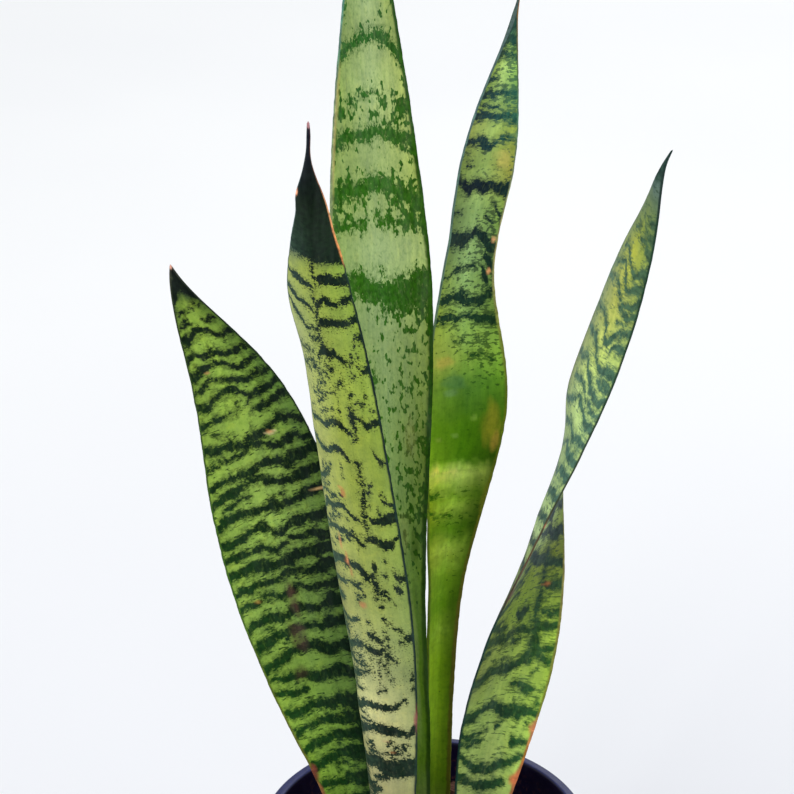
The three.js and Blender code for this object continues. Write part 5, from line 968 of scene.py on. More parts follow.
                (95, (150, 176, 96), (156, 176, 98), (134, 150, 110)), (120, (152, 182, 112), (156, 182, 120), (140, 160, 120)), (150, (150, 176, 116), (156, 184, 132), (150, 176, 136)), (170, (146, 170, 120), (150, 176, 130), (110, 132, 64)), (190, (120, 140, 90), (116, 136, 60), (104, 120, 50)), (215, (104, 120, 56), (110, 138, 54), (116, 142, 52)), (245, (110, 126, 62), (122, 148, 66), (122, 152, 54)), (270, (104, 128, 62), (120, 146, 72), (126, 158, 60)),
                (295, (116, 140, 70), (132, 156, 84), (134, 164, 76)), (320, (130, 150, 84), (140, 164, 94), (138, 164, 84)), (367, (150, 160, 110), (160, 170, 120), (150, 160, 110))],
        dark=[(0, (26, 44, 46), (24, 42, 46), (24, 40, 46)), (40, (50, 72, 50), (56, 80, 62), (70, 92, 84)), (90, (54, 80, 66), (56, 82, 70), (84, 106, 96)), (140, (60, 88, 80), (66, 94, 88), (78, 100, 96)), (175, (50, 66, 66), (40, 52, 56), (30, 38, 44)), (230, (36, 54, 34), (28, 46, 30), (34, 66, 26)), (280, (24, 50, 28), (20, 44, 30), (34, 70, 34)), (367, (40, 60, 36), (36, 60, 40), (40, 66, 36))],
        margins=[(0, [(0, 0.6, (24, 40, 40)), (40, 0.9, (22, 46, 34)), (110, 0.8, (30, 50, 36)), (150, 0.7, (50, 60, 44)), (180, 0.8, (86, 66, 50)), (215, 0.8, (24, 50, 46)), (367, 0.9, (20, 50, 40))]),
                 (1, [(0, 0.6, (50, 70, 70)), (60, 0.9, (96, 124, 96)), (100, 1.2, (120, 120, 60)), (160, 1.1, (104, 110, 70)), (200, 1.1, (120, 110, 60)), (268, 0.9, (110, 116, 40)), (276, 1.1, (190, 130, 90)), (290, 1.0, (150, 100, 40)), (304, 1.4, (200, 120, 80)), (320, 1.0, (120, 110, 60)), (367, 1.0, (120, 110, 70))])],
        patches=[(0.97, 276, 1.2, 3.6, (196, 120, 84), 0.8), (0.96, 303, 2.4, 3.4, (214, 120, 76), 0.95), (0.03, 163, 2.0, 1.4, (206, 120, 96), 0.6), (0.4, 165.0, 1.4, 0.8, (206, 140, 100), 0.5), (0.06, 200, 2.6, 6, (90, 56, 48), 0.5), (0.8, 206, 2.2, 1.2, (176, 96, 56), 0.4)],
        fleck=[(0, 0.3), (26, 0.6), (80, 0.5), (160, 0.45), (200, 0.6), (320, 0.5)], fleck_size=(3.4, 1.2), fleck_depth=0.75, streak=0.5, cloud=0.6, fine=0.15, bloom=0.04, bloom_col=(0.46, 0.56, 0.50), rough=0.55, spec=0.05, show=0.2),
}

for _name, _rows in LEAF_ROWS.items():
    make_leaf(_name + "_blade", _name, _rows, LOOKS[_name])

# ---------------------------------------------------------------- pot
POT_H, R_LIP, R_TOP, R_BASE, WALL, FLOOR_T, LIP_H, LIP_EDGE, FOOT = 143.7, 74.2, 70.6, 54.5, 2.2, 4.2, 11.0, 5.0, 1.1
ZC = POT_H - LIP_H


def wall_r(z):
    return R_BASE + (R_TOP - R_BASE) * (z / ZC)


def rounded(points, radii, n=5):
    """Outline with each corner rounded to its radius (mm)."""
    out = []
    m = len(points)
    P = [np.array(p, float) for p in points]
    for i in range(m):
        a, b, c = P[(i - 1) % m], P[i], P[(i + 1) % m]
        r = radii[i]
        d1, d2 = a - b, c - b
        l1, l2 = np.linalg.norm(d1), np.linalg.norm(d2)
        d1, d2 = d1 / l1, d2 / l2
        ang = math.acos(max(-1, min(1, float(d1 @ d2))))
        if r <= 0 or ang > math.pi - 0.05:
            out.append(b)
            continue
        t = min(r / math.tan(ang / 2), 0.45 * l1, 0.45 * l2)
        rr = t * math.tan(ang / 2)
        bis = (d1 + d2) / np.linalg.norm(d1 + d2)
        cen = b + bis * (rr / math.sin(ang / 2))
        s, e = b + d1 * t, b + d2 * t
        a0, a1 = math.atan2(*(s - cen)[::-1]), math.atan2(*(e - cen)[::-1])
        da = (a1 - a0 + math.pi) % TAU - math.pi
        for k in range(n + 1):
            w = a0 + da * k / n
            out.append(cen + rr * np.array([math.cos(w), math.sin(w)]))
    return out


def make_pot():
    # closed outline, outside from the middle of the underside up, over the lip, down inside
    pts, rad = [], []

    def p(r, z, q=0.0):
        pts.append((r, z)); rad.append(q)
    p(0.0, 1.6); p(24.0, 1.6, 2); p(26.0, 0.9, 1); p(R_BASE - 7.5, 0.9, 0.5); p(R_BASE - 6.5, 0.0, 0.5); p(R_BASE - 0.9, 0.0, 1.6)
    p(wall_r(7) - FOOT + 0.3, 7.0, 0.4); p(wall_r(8.3), 8.4, 0.5)
    for z in (20, 34, 48, 62, 76, 90, 104, 118, 127):
        p(wall_r(z), z)
    p(wall_r(ZC - 0.4), ZC - 0.4, 0.9); p(R_LIP - 0.9, ZC, 0.8); p(R_LIP - 0.35, ZC + 2.0, 0.4); p(R_LIP - 0.55, POT_H - 3.6, 0.8); p(R_LIP, POT_H - 2.9, 0.5); p(R_LIP, POT_H - 0.2, 1.25)
    p(R_LIP - LIP_EDGE + 0.25, POT_H + 0.0, 1.25); p(R_LIP - LIP_EDGE - 0.1, POT_H - 3.0, 0.8); p(R_LIP - LIP_EDGE - 0.45, ZC + 1.2, 1.0); p(wall_r(ZC) - WALL - 0.3, ZC - 2.6, 2.0)
    for z in (118, 104, 90, 76, 60, 44, 28, 12):
        p(wall_r(z) - WALL, z)
    p(wall_r(FLOOR_T + 2.5) - WALL, FLOOR_T + 2.2, 1.5); p(wall_r(FLOOR_T) - WALL - 2.2, FLOOR_T, 1.0); p(30.0, FLOOR_T, 0.0); p(0.0, FLOOR_T)
    prof = rounded(pts, rad)
    prof[0] = np.array([0.0, 1.6]); prof[-1] = np.array([0.0, FLOOR_T])
    seg = 240
    verts, faces = [], []
    n = len(prof)
    for i, (r, z) in enumerate(prof):
        if i in (0, n - 1):
            verts.append((0, 0, z))
            continue
        for j in range(seg):
            a = TAU * j / seg
            # moulded plastic is never quite round: a slow ovality and faint waves at the lip
            k = 0.16 * math.cos(2 * a + 0.7) * smooth(z, 20, 143) + 0.06 * math.cos(5 * a + 1.9) * smooth(z, 90, 143)
            rr = r - 0.12 + float(k) * (1 if r > 40 else 0)
            dz = 0.05 * math.sin(3 * a + 0.4) * float(smooth(z, 126, 143))
            verts.append((rr * math.cos(a), rr * math.sin(a), z + dz - (0.06 if z > 136 else 0)))
    idx = lambda i, j: 0 if i == 0 else (len(verts) - 1 if i == n - 1 else 1 + (i - 1) * seg + (j % seg))
    for j in range(seg):
        faces.append((0, idx(1, j), idx(1, j + 1)))
        faces.append((len(verts) - 1, idx(n - 2, j + 1), idx(n - 2, j)))
        for i in range(1, n - 2):
            faces.append((idx(i, j), idx(i + 1, j), idx(i + 1, j + 1), idx(i, j + 1)))
    ob = new_object("nursery_pot", np.array(verts) * MM, faces)
    bm = bmesh.new()
    bm.from_mesh(ob.data)
    bmesh.ops.recalc_face_normals(bm, faces=bm.faces)
    bm.to_mesh(ob.data)
    bm.free()
    # drainage holes through the floor
    cv, cf = [], []
    for i in range(6):
        a = TAU * (i + 0.5) / 6
        b0 = len(cv)
        for z in (-3.0, 9.0):
            for k in range(40):
                w = TAU * k / 40
                cv.append((38 * math.cos(a) + 5 * math.cos(w), 38 * math.sin(a) + 5 * math.sin(w), z))
        cf.append(tuple(b0 + k for k in range(39, -1, -1)))
        cf.append(tuple(b0 + 40 + k for k in range(40)))
        cf += [(b0 + k, b0 + (k + 1) % 40, b0 + 40 + (k + 1) % 40, b0 + 40 + k) for k in range(40)]
    cut = new_object("drain_cutter", np.array(cv) * MM, cf, False)
    mod = ob.modifiers.new("holes", "BOOLEAN")
    mod.operation, mod.solver, mod.object = "DIFFERENCE", "EXACT", cut
    dg = bpy.context.evaluated_depsgraph_get()
    me = bpy.data.meshes.new_from_object(ob.evaluated_get(dg))
    ob.modifiers.clear()
    ob.data = me
    bpy.data.objects.remove(cut, do_unlink=True)
    me.polygons.foreach_set("use_smooth", [True] * len(me.polygons))
    bm = bmesh.new()
    bm.from_mesh(me)
    for e in bm.edges:
        if len(e.link_faces) == 2 and e.calc_face_angle(0) > math.radians(38):
            e.smooth = False
    bm.to_mesh(me)
    bm.free()
    return ob


def pot_material():
    m = Nodes("navy_pot_plastic")
    tc = m.n("ShaderNodeTexCoord").outputs["Object"]
    sx = m.n("ShaderNodeSeparateXYZ")
    m.link(tc, sx.inputs[0])
    x, y, z = sx.outputs
    ang = m.math("ARCTAN2", y, x)
    rad = m.math("SQRT", m.math("ADD", m.math("MULTIPLY", x, x), m.math("MULTIPLY", y, y)))
    cyl = m.n("ShaderNodeCombineXYZ")
    m.link(m.math("MULTIPLY", ang, 0.072), cyl.inputs[0])
    m.link(rad, cyl.inputs[1])
    m.link(z, cyl.inputs[2])
    cyl = cyl.outputs[0]
    big = m.noise(m.scaled(tc, (55, 55, 40)), 1.0, 4.0, 0.6)
    # faint turned lines and fine scratches round the wall
    rings = m.noise(m.scaled(cyl, (60, 0, 2600)), 1.0, 2.0, 0.6)
    scr = m.noise(m.scaled(cyl, (220, 300, 5200), (3, 1, 7)), 1.0, 3.0, 0.7)
    fine = m.noise(m.scaled(tc, (2400, 2400, 2400)), 1.0, 2.0, 0.5)
    # dust dried on in blotches, heavier towards the foot
    d1 = m.noise(m.scaled(tc, (95, 95, 70), (2, 5, 1)), 1.0, 6.0, 0.68)
    d2 = m.noise(m.scaled(tc, (900, 900, 700), (4, 4, 4)), 1.0, 4.0, 0.7)
    low = m.range(z, 0.055, 0.0, 0.0, 0.35)
    dust = m.math("ADD", m.range(d1, 0.50, 0.78, 0.0, 0.55), low)
    dust = m.math("MULTIPLY", dust, m.range(d2, 0.30, 0.70, 0.25, 1.0), clamp=True)
    # painted highlight along the lip: the crest is painted paler, broken up by noise
    lip_highlight = m.math("MULTIPLY", m.range(z, 0.1412, 0.1436), m.range(d2, 0.25, 0.75, 0.3, 1.0))
    # the inner face: anything nearer the axis than the middle of the wall
    wall = m.math("MINIMUM", m.math("ADD", 0.0534, m.math("MULTIPLY", z, (R_TOP - R_BASE) / ZC)), 0.0697)
    inside = m.math("MULTIPLY", m.range(m.math("SUBTRACT", wall, rad), -0.0002, 0.0003), m.range(z, 0.100, 0.112))
    base = m.mix(m.range(big, 0.30, 0.72), srgb(25, 29, 60), srgb(30, 35, 74))
    # painted highlight: the lip's crest mixed towards a pale blue
    base = m.mix(m.math("MULTIPLY", lip_highlight, 0.55), base, srgb(50, 60, 128))
    # painted shade: the inner face of the wall is darkened to a deep purple
    base = m.mix(m.math("MULTIPLY", inside, 0.92), base, srgb(16, 7, 38))
    # soil splashes on the inner wall
    s1 = m.noise(m.scaled(tc, (420, 420, 420), (9, 9, 9)), 1.0, 4.0, 0.7)
    splash = m.math("MULTIPLY", m.range(s1, 0.54, 0.62), m.math("MULTIPLY", inside, m.range(z, 0.1425, 0.128)))
    base = m.mix(m.math("MULTIPLY", splash, 0.9), base, srgb(66, 34, 42))
    base = m.mix(m.math("MULTIPLY", dust, 0.14), base, srgb(104, 106, 132))
    m.link(base, m.bsdf.inputs["Base Color"])
    ro = m.math("ADD", 0.34, m.math("MULTIPLY", dust, 0.34))
    ro = m.math("ADD", ro, m.math("MULTIPLY", m.math("SUBTRACT", scr, 0.5), 0.30))
    m.link(m.math("ADD", ro, m.math("MULTIPLY", splash, 0.4), clamp=True), m.bsdf.inputs["Roughness"])
    m.bsdf.inputs["Specular IOR Level"].default_value = 0.26
    h = m.math("ADD", m.math("MULTIPLY", rings, 0.5), m.math("MULTIPLY", scr, 0.35))
    h = m.math("ADD", h, m.math("MULTIPLY", fine, 0.35))
    h = m.math("ADD", h, m.math("MULTIPLY", splash, 2.0))
    m.link(m.bump(h, 0.35, 0.00012), m.bsdf.inputs["Normal"])
    return m.mat


pot = make_pot()
pot.data.materials.clear()
pot.data.materials.append(pot_material())
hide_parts("pot")
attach(pot, "root")

# ---------------------------------------------------------------- potting mix
EDGE_Z, MID_Z, BUMP_Z = 124.5, 129.5, 1.3
SOIL_R = wall_r(EDGE_Z + 1) - WALL - 0.55


def soil_z(x, y):
    r = np.clip(np.hypot(x, y) / R_TOP, 0, 1)
    dome = MID_Z + (EDGE_Z - MID_Z) * r ** 1.6
    b = np.sin(x * 0.21 + 1.3) * np.cos(y * 0.19 - 0.7) * 0.55 + np.sin(x * 0.43 - y * 0.37 + 2.1) * 0.3 + np.cos(x * 0.11 + y * 0.5) * 0.25
    return dome + BUMP_Z * b * (1 - r ** 6)


def crumb_height(x, y):
    """Lumpy surface of the mix in mm, above or below the smooth dome."""
    h = 1.5 * vnoise(x / 7.0, y / 7.0, 0, 301) + 1.1 * np.abs(vnoise(x / 3.1, y / 3.1, 0, 302)) + 0.75 * np.abs(vnoise(x / 1.5, y / 1.5, 0, 303)) + 0.35 * vnoise(x / 0.8, y / 0.8, 0, 304)
    return h - 0.9


def make_soil():
    rings, seg = 118, 400
    verts = [(0, 0, float(soil_z(0, 0)))]
    rr = SOIL_R * (np.arange(1, rings + 1) / rings)
    aa = np.arange(seg) / seg * TAU
    R, A = np.meshgrid(rr, aa, indexing="ij")
    X, Y = R * np.cos(A), R * np.sin(A)
    edge = smooth(R, SOIL_R - 3.0, SOIL_R)
    Z = soil_z(X, Y) + crumb_height(X, Y) * (1 - 0.85 * edge) - 0.9 * edge
    verts += list(zip(X.ravel(), Y.ravel(), Z.ravel()))
    side = [(117.0, 0.0), (100.0, 0.0), (72.0, 0.0), (40.0, 0.0), (FLOOR_T + 3.2, 0.0), (FLOOR_T + 0.5, 1.8)]
    for z, d in side:
        r = (wall_r(z) - WALL if z > FLOOR_T + 2.5 else wall_r(FLOOR_T) - WALL - 2.0) - 0.5 - d * 0.2
        w = 0.25 * vnoise(np.cos(aa) * 9, np.sin(aa) * 9, z, 305) - 0.25
        verts += list(zip((r + w) * np.cos(aa), (r + w) * np.sin(aa), np.full(seg, z)))
    verts.append((0, 0, FLOOR_T + 0.5))
    faces = [(0, 1 + j, 1 + (j + 1) % seg) for j in range(seg)]
    nr = rings + len(side)
    for i in range(nr - 1):
        a, b = 1 + i * seg, 1 + (i + 1) * seg
        faces += [(a + j, b + j, b + (j + 1) % seg, a + (j + 1) % seg) for j in range(seg)]
    a = 1 + (nr - 1) * seg
    faces += [(a + (j + 1) % seg, a + j, len(verts) - 1) for j in range(seg)]
    ob = new_object("potting_mix", np.array(verts) * MM, faces)
    bm = bmesh.new()
    bm.from_mesh(ob.data)
    bmesh.ops.recalc_face_normals(bm, faces=bm.faces)
    bm.to_mesh(ob.data)
    bm.free()
    return ob


def blob(rng, size, flat, detail=2, rough=0.30):
    """One crumb: an icosphere pushed about, as verts and faces in mm."""
    bm = bmesh.new()
    bmesh.ops.create_icosphere(bm, subdivisions=detail, radius=1.0)
    v = np.array([p.co[:] for p in bm.verts])
    f = [tuple(q.index for q in face.verts) for face in bm.faces]
    bm.free()
    o = rng.uniform(0, 50, 3)
    n = vnoise(v[:, 0] * 1.3 + o[0], v[:, 1] * 1.3 + o[1], v[:, 2] * 1.3 + o[2], 7) + 0.5 * vnoise(v[:, 0] * 3 + o[0], v[:, 1] * 3 + o[1], v[:, 2] * 3 + o[2], 8)
    v = v * (1 + rough * n)[:, None]
    v = v * (np.array([1.0, rng.uniform(0.6, 0.95), flat]) * size)
    t, e, g = rng.uniform(0, TAU), rng.uniform(-0.5, 0.5), rng.uniform(-0.5, 0.5)
    for ax, w in ((0, e), (1, g), (2, t)):
        c, s = math.cos(w), math.sin(w)
        i, j = [(1, 2), (0, 2), (0, 1)][ax]
        a, b = v[:, i].copy(), v[:, j].copy()
        v[:, i], v[:, j] = a * c - b * s, a * s + b * c
    return v, f


def leaf_clear(x, y, z, gap):
    """True when the point keeps clear of every blade at that height."""
    for rows in LEAF_ROWS.values():
        r = np.array(rows, float)
        zz = (r[:, 2] + r[:, 5]) / 2
        k = np.argmin(np.abs(zz - z))
        a, b = r[k, 0:2], r[k, 3:5]
        n = np.array([-(b - a)[1], (b - a)[0]])
        n = n / np.linalg.norm(n)
        for t in np.linspace(0, 1, 9):
            q = a + (b - a) * t + n * r[k, 6] * math.sin(math.pi * t) * -1
            q2 = a + (b - a) * t + n * r[k, 6] * math.sin(math.pi * t)
            if math.hypot(q[0] - x, q[1] - y) < gap or math.hypot(q2[0] - x, q2[1] - y) < gap:
                return False
    return True


def crumbs(name, count, sizes, flat, seed, detail=1, sink=0.35):
    rng = np.random.default_rng(seed)
    V, F, T, n = [], [], [], 0
    tries = 0
    while len(T) < count and tries < count * 8:
        tries += 1
        r = (SOIL_R - 2.6) * math.sqrt(rng.uniform(0, 1))
        a = rng.uniform(0, TAU)
        x, y = r * math.cos(a), r * math.sin(a)
        s = sizes[0] + (sizes[1] - sizes[0]) * rng.uniform(0, 1) ** 2.2
        z = float(soil_z(x, y) + crumb_height(x, y))
        if r + s * 1.2 > SOIL_R - 0.4 or not leaf_clear(x, y, z, s + 2.2):
            continue
        if any(math.hypot(x - c[0], y - c[1]) < 0.62 * max(c[2], c[3]) + s for c in CHIP_SPOTS):
            continue
        v, f = blob(rng, s, rng.uniform(*flat), detail)
        v = v + np.array([x, y, z + s * (0.5 - sink)])
        V.append(v)
        F += [tuple(i + n for i in q) for q in f]
        n += len(v)
        T.append((x, y))
    ob = new_object(name, np.concatenate(V) * MM, F)
    return ob


CHIP_SPOTS = [(38.5, -41.5, 15, 10.5), (56, -22, 11, 7.5), (20.5, -54.5, 12, 8), (-38, -38.5, 16, 9), (-6, -52, 10, 7), (-50.5, -4, 13, 8.5),
              (-30, 44, 17, 9.5), (17, 50.5, 12, 9), (49, 22, 14, 8), (47.2, -31.2, 3, 3), (29, -40, 3, 3), (-22.5, -50.5, 3, 3), (-8, 58.5, 3, 3)]


def soil_material(name, a, b, c, glint=0.0):
    m = Nodes(name)
    tc = m.n("ShaderNodeTexCoord").outputs["Object"]
    n1 = m.noise(m.scaled(tc, (150, 150, 150)), 1.0, 5.0, 0.65)
    n2 = m.noise(m.scaled(tc, (900, 900, 900), (3, 1, 2)), 1.0, 4.0, 0.7)
    n3 = m.noise(m.scaled(tc, (2600, 2600, 2600), (1, 7, 2)), 1.0, 3.0, 0.7)
    vo = m.n("ShaderNodeTexVoronoi", feature="F1")
    m.link(m.scaled(tc, (620, 620, 620)), vo.inputs["Vector"])
    vo.inputs["Scale"].default_value = 1.0
    cell = vo.outputs["Distance"]
    sep = m.n("ShaderNodeSeparateColor")
    m.link(vo.outputs["Color"], sep.inputs[0])
    col = m.mix(m.range(n1, 0.35, 0.70), a, b)
    col = m.mix(m.range(sep.outputs[0], 0.62, 0.95, 0.0, 0.8), col, c)
    col = m.mix(m.range(n2, 0.55, 0.78, 0.0, 0.55), col, srgb(70, 48, 50))
    # painted shade: the gaps between grains, where the bump also sinks, are darkened to near black
    col = m.mix(m.range(cell, 0.30, 0.75, 0.0, 0.7), col, srgb(8, 5, 10))
    m.link(col, m.bsdf.inputs["Base Color"])
    m.link(m.range(n2, 0.3, 0.7, 0.98 - glint, 0.70 - glint), m.bsdf.inputs["Roughness"])
    m.bsdf.inputs["Specular IOR Level"].default_value = 0.28
    h = m.math("ADD", m.math("MULTIPLY", n2, 1.0), m.math("MULTIPLY", n3, 0.5))
    h = m.math("SUBTRACT", h, m.math("MULTIPLY", cell, 0.6))
    m.link(m.bump(h, 0.8, 0.0006), m.bsdf.inputs["Normal"])
    return m.mat


soil = make_soil()
soil.data.materials.append(soil_material("potting_mix_dark", srgb(24, 13, 19), srgb(48, 27, 33), srgb(74, 42, 46)))
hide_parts("soil")
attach(soil, "root")
big = crumbs("mix_lumps", 420, (0.9, 3.4), (0.5, 0.85), 11, 2)
big.data.materials.append(soil_material("mix_lumps_dark", srgb(34, 19, 25), srgb(62, 36, 40), srgb(92, 56, 54)))
small = crumbs("mix_crumbs", 1500, (0.35, 1.1), (0.6, 0.95), 12, 1)
small.data.materials.append(soil_material("mix_crumbs_dark", srgb(30, 18, 22), srgb(66, 42, 44), srgb(110, 72, 62)))
for ob in (big, small):
    ob.data.polygons.foreach_set("use_smooth", [True] * len(ob.data.polygons))
    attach(ob, "root")


# ---------------------------------------------------------------- fibres in the mix
def fibres(name, count, seed):
    rng = np.random.default_rng(seed)
    V, F = [], []
    for _ in range(count):
        for _try in range(12):
            r = (SOIL_R - 8) * math.sqrt(rng.uniform(0, 1))
            a = rng.uniform(0, TAU)
            x, y = r * math.cos(a), r * math.sin(a)
            if leaf_clear(x, y, 127, 9):
                break
        else:
            continue
        head, ln = rng.uniform(0, TAU), rng.uniform(3, 8)
        turn = rng.uniform(-0.35, 0.35)
        pts = []
        for k in range(9):
            t = k / 8
            pts.append((x, y, float(soil_z(x, y) + crumb_height(x, y)) + 0.35 + 0.5 * math.sin(math.pi * t)))
            x += math.cos(head) * ln / 8
            y += math.sin(head) * ln / 8
            head += turn
        if any(math.hypot(p[0], p[1]) > SOIL_R - 1.5 for p in pts):
            continue
        P = np.array(pts)
        P[:, 2] = np.convolve(np.r_[P[0, 2], P[:, 2], P[-1, 2]], [0.25, 0.5, 0.25], "valid")
        rad = rng.uniform(0.14, 0.3)
        b0 = sum(len(v) for v in V)
        ring = []
        T = np.gradient(P, axis=0)
        T /= np.linalg.norm(T, axis=1)[:, None]
        S = np.cross(T, (0, 0, 1.0))
        S /= np.linalg.norm(S, axis=1)[:, None]
        U = np.cross(S, T)
        for i in range(len(P)):
            q = rad * (0.35 + 0.65 * math.sin(math.pi * (0.08 + 0.84 * i / (len(P) - 1))))
            for k in range(6):
                w = TAU * k / 6
                ring.append(P[i] + q * (math.cos(w) * S[i] + math.sin(w) * U[i]))
        ring += [P[0] - T[0] * rad * 0.4, P[-1] + T[-1] * rad * 0.4]
        V.append(np.array(ring))
        m_ = len(P)
        for i in range(m_ - 1):
            F += [(b0 + i * 6 + k, b0 + i * 6 + (k + 1) % 6, b0 + (i + 1) * 6 + (k + 1) % 6, b0 + (i + 1) * 6 + k) for k in range(6)]
        F += [(b0 + 6 * m_, b0 + (k + 1) % 6, b0 + k) for k in range(6)]
        F += [(b0 + 6 * m_ + 1, b0 + (m_ - 1) * 6 + k, b0 + (m_ - 1) * 6 + (k + 1) % 6) for k in range(6)]
    ob = new_object(name, np.concatenate(V) * MM, F)
    return ob


fib = fibres("mix_fibres", 70, 21)
fib.data.materials.append(soil_material("mix_fibre_brown", srgb(58, 36, 34), srgb(92, 62, 52), srgb(124, 88, 70)))
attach(fib, "root")


# ---------------------------------------------------------------- bark chips
def bark_material(name, seed, a, b, c):
    m = Nodes(name)
    tc = m.n("ShaderNodeTexCoord").outputs["Object"]
    n1 = m.noise(m.scaled(m.attr("grainco", "Vector"), (260, 1500, 1500), (seed, 0, 0)), 1.0, 5.0, 0.65)
    n2 = m.noise(m.scaled(tc, (700, 700, 700), (0, seed, 0)), 1.0, 5.0, 0.7)
    n3 = m.noise(m.scaled(tc, (220, 220, 220), (0, 0, seed)), 1.0, 3.0, 0.6)
    col = m.mix(m.range(n1, 0.35, 0.68), a, b)
    col = m.mix(m.range(n3, 0.5, 0.72, 0.0, 0.8), col, c)
    col = m.mix(m.range(n2, 0.55, 0.75, 0.0, 0.6), col, srgb(26, 15, 18))
    m.link(col, m.bsdf.inputs["Base Color"])
    m.link(m.range(n1, 0.3, 0.7, 0.92, 0.66), m.bsdf.inputs["Roughness"])
    m.bsdf.inputs["Specular IOR Level"].default_value = 0.3
    h = m.math("ADD", m.math("MULTIPLY", n1, 1.0), m.math("MULTIPLY", n2, 0.5))
    m.link(m.bump(h, 0.8, 0.0005), m.bsdf.inputs["Normal"])
    return m.mat


BARK = [((62, 36, 42), (96, 60, 58), (44, 26, 34)), ((70, 44, 40), (116, 78, 60), (50, 30, 30)), ((52, 32, 38), (84, 54, 56), (104, 76, 62)),
        ((74, 46, 38), (112, 74, 54), (48, 30, 30)), ((58, 38, 38), (98, 68, 58), (44, 28, 32)), ((66, 40, 36), (104, 66, 50), (130, 92, 70)),
        ((60, 38, 36), (98, 64, 52), (44, 28, 28)), ((70, 44, 38), (112, 76, 58), (52, 32, 30)), ((62, 38, 36), (100, 64, 50), (120, 84, 62))]
for i in range(9):
    node = "bark_chip_%d" % (i + 1)
    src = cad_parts[node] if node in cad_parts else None
    lo, hi = [np.array(q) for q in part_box(node)]
    cx, cy, ln, wd = CHIP_SPOTS[i]
    turn = math.radians([24, 112, -35, 64, 8, -72, 40, -18, 75][i])
    seed = [3, 11, 7, 19, 23, 31, 41, 47, 53][i]
    rng = np.random.default_rng(seed)
    # a weathered flake: rounded slab, split ends, layered edge
    bm = bmesh.new()
    bmesh.ops.create_cube(bm, size=2.0)
    bmesh.ops.subdivide_edges(bm, edges=bm.edges[:], cuts=13, use_grid_fill=True)
    v = np.array([p.co[:] for p in bm.verts])
    f = [tuple(q.index for q in face.verts) for face in bm.faces]
    bm.free()
    # rounder than a box, on a lumpy outline
    q = v / np.maximum((np.abs(v[:, 0]) ** 4 + np.abs(v[:, 1]) ** 4 + 1e-9) ** 0.25, 1.0)[:, None] ** 1.0
    q[:, 2] = v[:, 2]
    ang = np.arctan2(q[:, 1], q[:, 0])
    out = 0.86 + 0.10 * vnoise(np.cos(ang) * 1.6 + seed, np.sin(ang) * 1.6, 0, seed) + 0.06 * vnoise(np.cos(ang) * 5 + seed, np.sin(ang) * 5, q[:, 2] * 0.6, seed + 1)
    dome = 1 - 0.35 * smooth(np.hypot(q[:, 0], q[:, 1]), 0.55, 1.05)
    h = hi - lo
    half_h = 0.5 * h[2]
    px = q[:, 0] * out * ln * 0.5
    py = q[:, 1] * out * wd * 0.5
    layer = 0.10 * np.round(q[:, 2] * 2.5) / 2.5
    px = px * (1 + layer * np.sign(q[:, 2]) * -0.3)
    # fibres run along the flake
    ridge = 0.16 * vnoise(px / 6.0, py / 0.8, q[:, 2], seed + 2) + 0.10 * vnoise(px / 2.0, py / 0.4, q[:, 2], seed + 3)
    thick = {0: 3.6, 1: 3.0, 2: 3.2, 3: 3.4, 4: 2.8, 5: 3.2, 6: 3.6, 7: 3.0, 8: 3.2}[i]
    pz = q[:, 2] * 0.5 * thick * dome + ridge * np.sign(q[:, 2]) + 0.35 * vnoise(px / 4.0, py / 4.0, 0, seed + 4)
    grain = np.c_[px, py, pz] * MM
    tilt = math.radians([7, -6, 5, -5, 6, 5, -4, 6, 5][i])
    x1 = px * math.cos(tilt) + pz * math.sin(tilt)
    z1 = -px * math.sin(tilt) + pz * math.cos(tilt)
    X = x1 * math.cos(turn) - py * math.sin(turn)
    Y = x1 * math.sin(turn) + py * math.cos(turn)
    mid = (lo + hi) / 2 * 1000
    P = np.c_[X + cx, Y + cy, z1 + mid[2] - 0.25]
    ob = new_object("bark_flake_%d" % (i + 1), P * MM, f)
    put(ob, "grainco", "FLOAT_VECTOR", grain)
    ca, cb, cc = BARK[i]
    ob.data.materials.append(bark_material("bark_%d" % (i + 1), seed * 1.7, srgb(*ca), srgb(*cb), srgb(*cc)))
    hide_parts(node)
    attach(ob, "root")

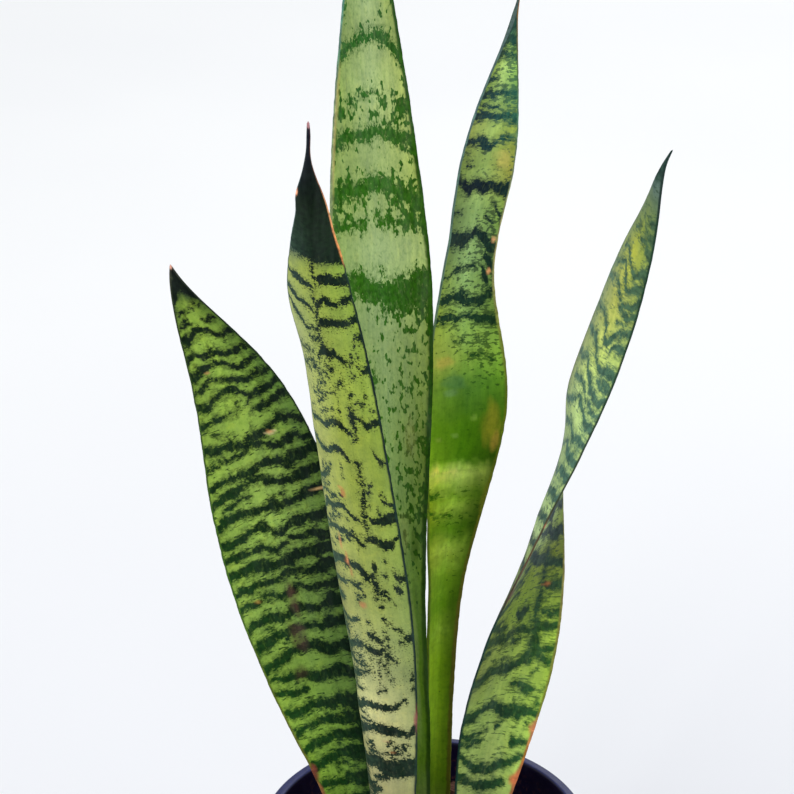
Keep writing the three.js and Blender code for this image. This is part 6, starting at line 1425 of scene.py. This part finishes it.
# ---------------------------------------------------------------- feed beads
for i in range(4):
    node = "feed_bead_%d" % (i + 1)
    lo, hi = [np.array(q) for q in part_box(node)]
    mid, r = (lo + hi) / 2 * 1000, float((hi - lo).max()) * 500
    bm = bmesh.new()
    bmesh.ops.create_icosphere(bm, subdivisions=5, radius=1.0)
    v = np.array([p.co[:] for p in bm.verts])
    f = [tuple(q.index for q in face.verts) for face in bm.faces]
    bm.free()
    s = 40 + i
    k = 0.985 + 0.035 * vnoise(v[:, 0] * 1.6, v[:, 1] * 1.6, v[:, 2] * 1.6, s) + 0.012 * vnoise(v[:, 0] * 6, v[:, 1] * 6, v[:, 2] * 6, s + 9)
    # a shallow moulding dimple on one side
    d = np.linalg.norm(v - np.array([0.3, 0.4, 0.866]), axis=1)
    k = k - 0.05 * np.exp(-(d / 0.28) ** 2)
    ob = new_object("coated_feed_bead_%d" % (i + 1), (v * (k * r)[:, None] + mid) * MM, f)
    m = Nodes("feed_coat_%d" % (i + 1))
    tc = m.n("ShaderNodeTexCoord").outputs["Object"]
    n1 = m.noise(m.scaled(tc, (900, 900, 900), (s, 0, 0)), 1.0, 4.0, 0.6)
    n2 = m.noise(m.scaled(tc, (3200, 3200, 3200), (0, s, 0)), 1.0, 3.0, 0.6)
    col = m.mix(m.range(n1, 0.35, 0.68), srgb(34, 96, 108), srgb(76, 150, 150))
    col = m.mix(m.range(n2, 0.60, 0.78, 0.0, 0.7), col, srgb(40, 34, 38))
    m.link(col, m.bsdf.inputs["Base Color"])
    m.link(m.range(n2, 0.35, 0.7, 0.34, 0.6), m.bsdf.inputs["Roughness"])
    m.link(m.bump(n2, 0.5, 0.0001), m.bsdf.inputs["Normal"])
    ob.data.materials.append(m.mat)
    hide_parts(node)
    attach(ob, "root")

# ---------------------------------------------------------------- floor, light, camera
fl = new_object("floor", [(-14, -14, 0), (14, -14, 0), (14, 22, 0), (-14, 22, 0)], [(0, 1, 2, 3)], False)
bm = bmesh.new()
bm.from_mesh(fl.data)
bmesh.ops.subdivide_edges(bm, edges=bm.edges[:], cuts=24, use_grid_fill=True)
bm.to_mesh(fl.data)
bm.free()
m = Nodes("pale_floor")
tc = m.n("ShaderNodeTexCoord").outputs["Object"]
n1 = m.noise(m.scaled(tc, (1.5, 1.5, 1.5)), 1.0, 3.0, 0.5)
sy = m.n("ShaderNodeSeparateXYZ")
m.link(tc, sy.inputs[0])
col = m.mix(m.range(n1, 0.3, 0.7), srgb(250, 251, 252), srgb(254, 255, 255))
# painted shade: the floor is darker from the pot forward and paler far back
col = m.mix(m.range(sy.outputs[1], 0.15, 1.1, 1.0, 0.0), col, srgb(239, 240, 244))
m.link(col, m.bsdf.inputs["Base Color"])
m.bsdf.inputs["Roughness"].default_value = 0.75
m.bsdf.inputs["Specular IOR Level"].default_value = 0.2
fl.data.materials.append(m.mat)


def area(name, loc, target, size, power, color=(1, 1, 1)):
    ld = bpy.data.lights.new(name, "AREA")
    ld.shape = "RECTANGLE"
    ld.size, ld.size_y = size
    ld.energy = power
    ld.color = color
    ob = bpy.data.objects.new(name, ld)
    ob.location = loc
    ob.rotation_euler = (Vector(target) - Vector(loc)).to_track_quat("-Z", "Y").to_euler()
    scene.collection.objects.link(ob)
    return ob


area("key", (-1.3, -1.5, 2.3), (0, 0, 0.3), (1.8, 1.8), KEY_W, (1.0, 0.99, 0.97))
area("fill", (1.9, -0.9, 1.4), (0, 0, 0.3), (1.8, 1.8), FILL_W, (0.96, 0.98, 1.0))
area("rim", (0.7, 2.1, 1.7), (0, 0, 0.3), (1.6, 1.2), RIM_W, (1.0, 1.0, 1.0))

w = bpy.data.worlds.new("soft_world")
scene.world = w
w.use_nodes = True
bg = w.node_tree.nodes["Background"]
bg.inputs[0].default_value = (0.95, 0.97, 1.0, 1)
bg.inputs[1].default_value = WORLD
scene.view_settings.view_transform = "Standard"
scene.view_settings.look = "None"
scene.view_settings.exposure = 0.0
scene.view_settings.gamma = 1.0

cam_d = bpy.data.cameras.new("camera")
cam_d.lens = 122.4
cam_d.sensor_width = 36
cam_d.clip_end = 100
cam = bpy.data.objects.new("camera", cam_d)
cam.location = (-0.0127, -1.0153, 0.8552)
cam.rotation_euler = (math.radians(64), 0, 0)
scene.collection.objects.link(cam)
scene.camera = cam
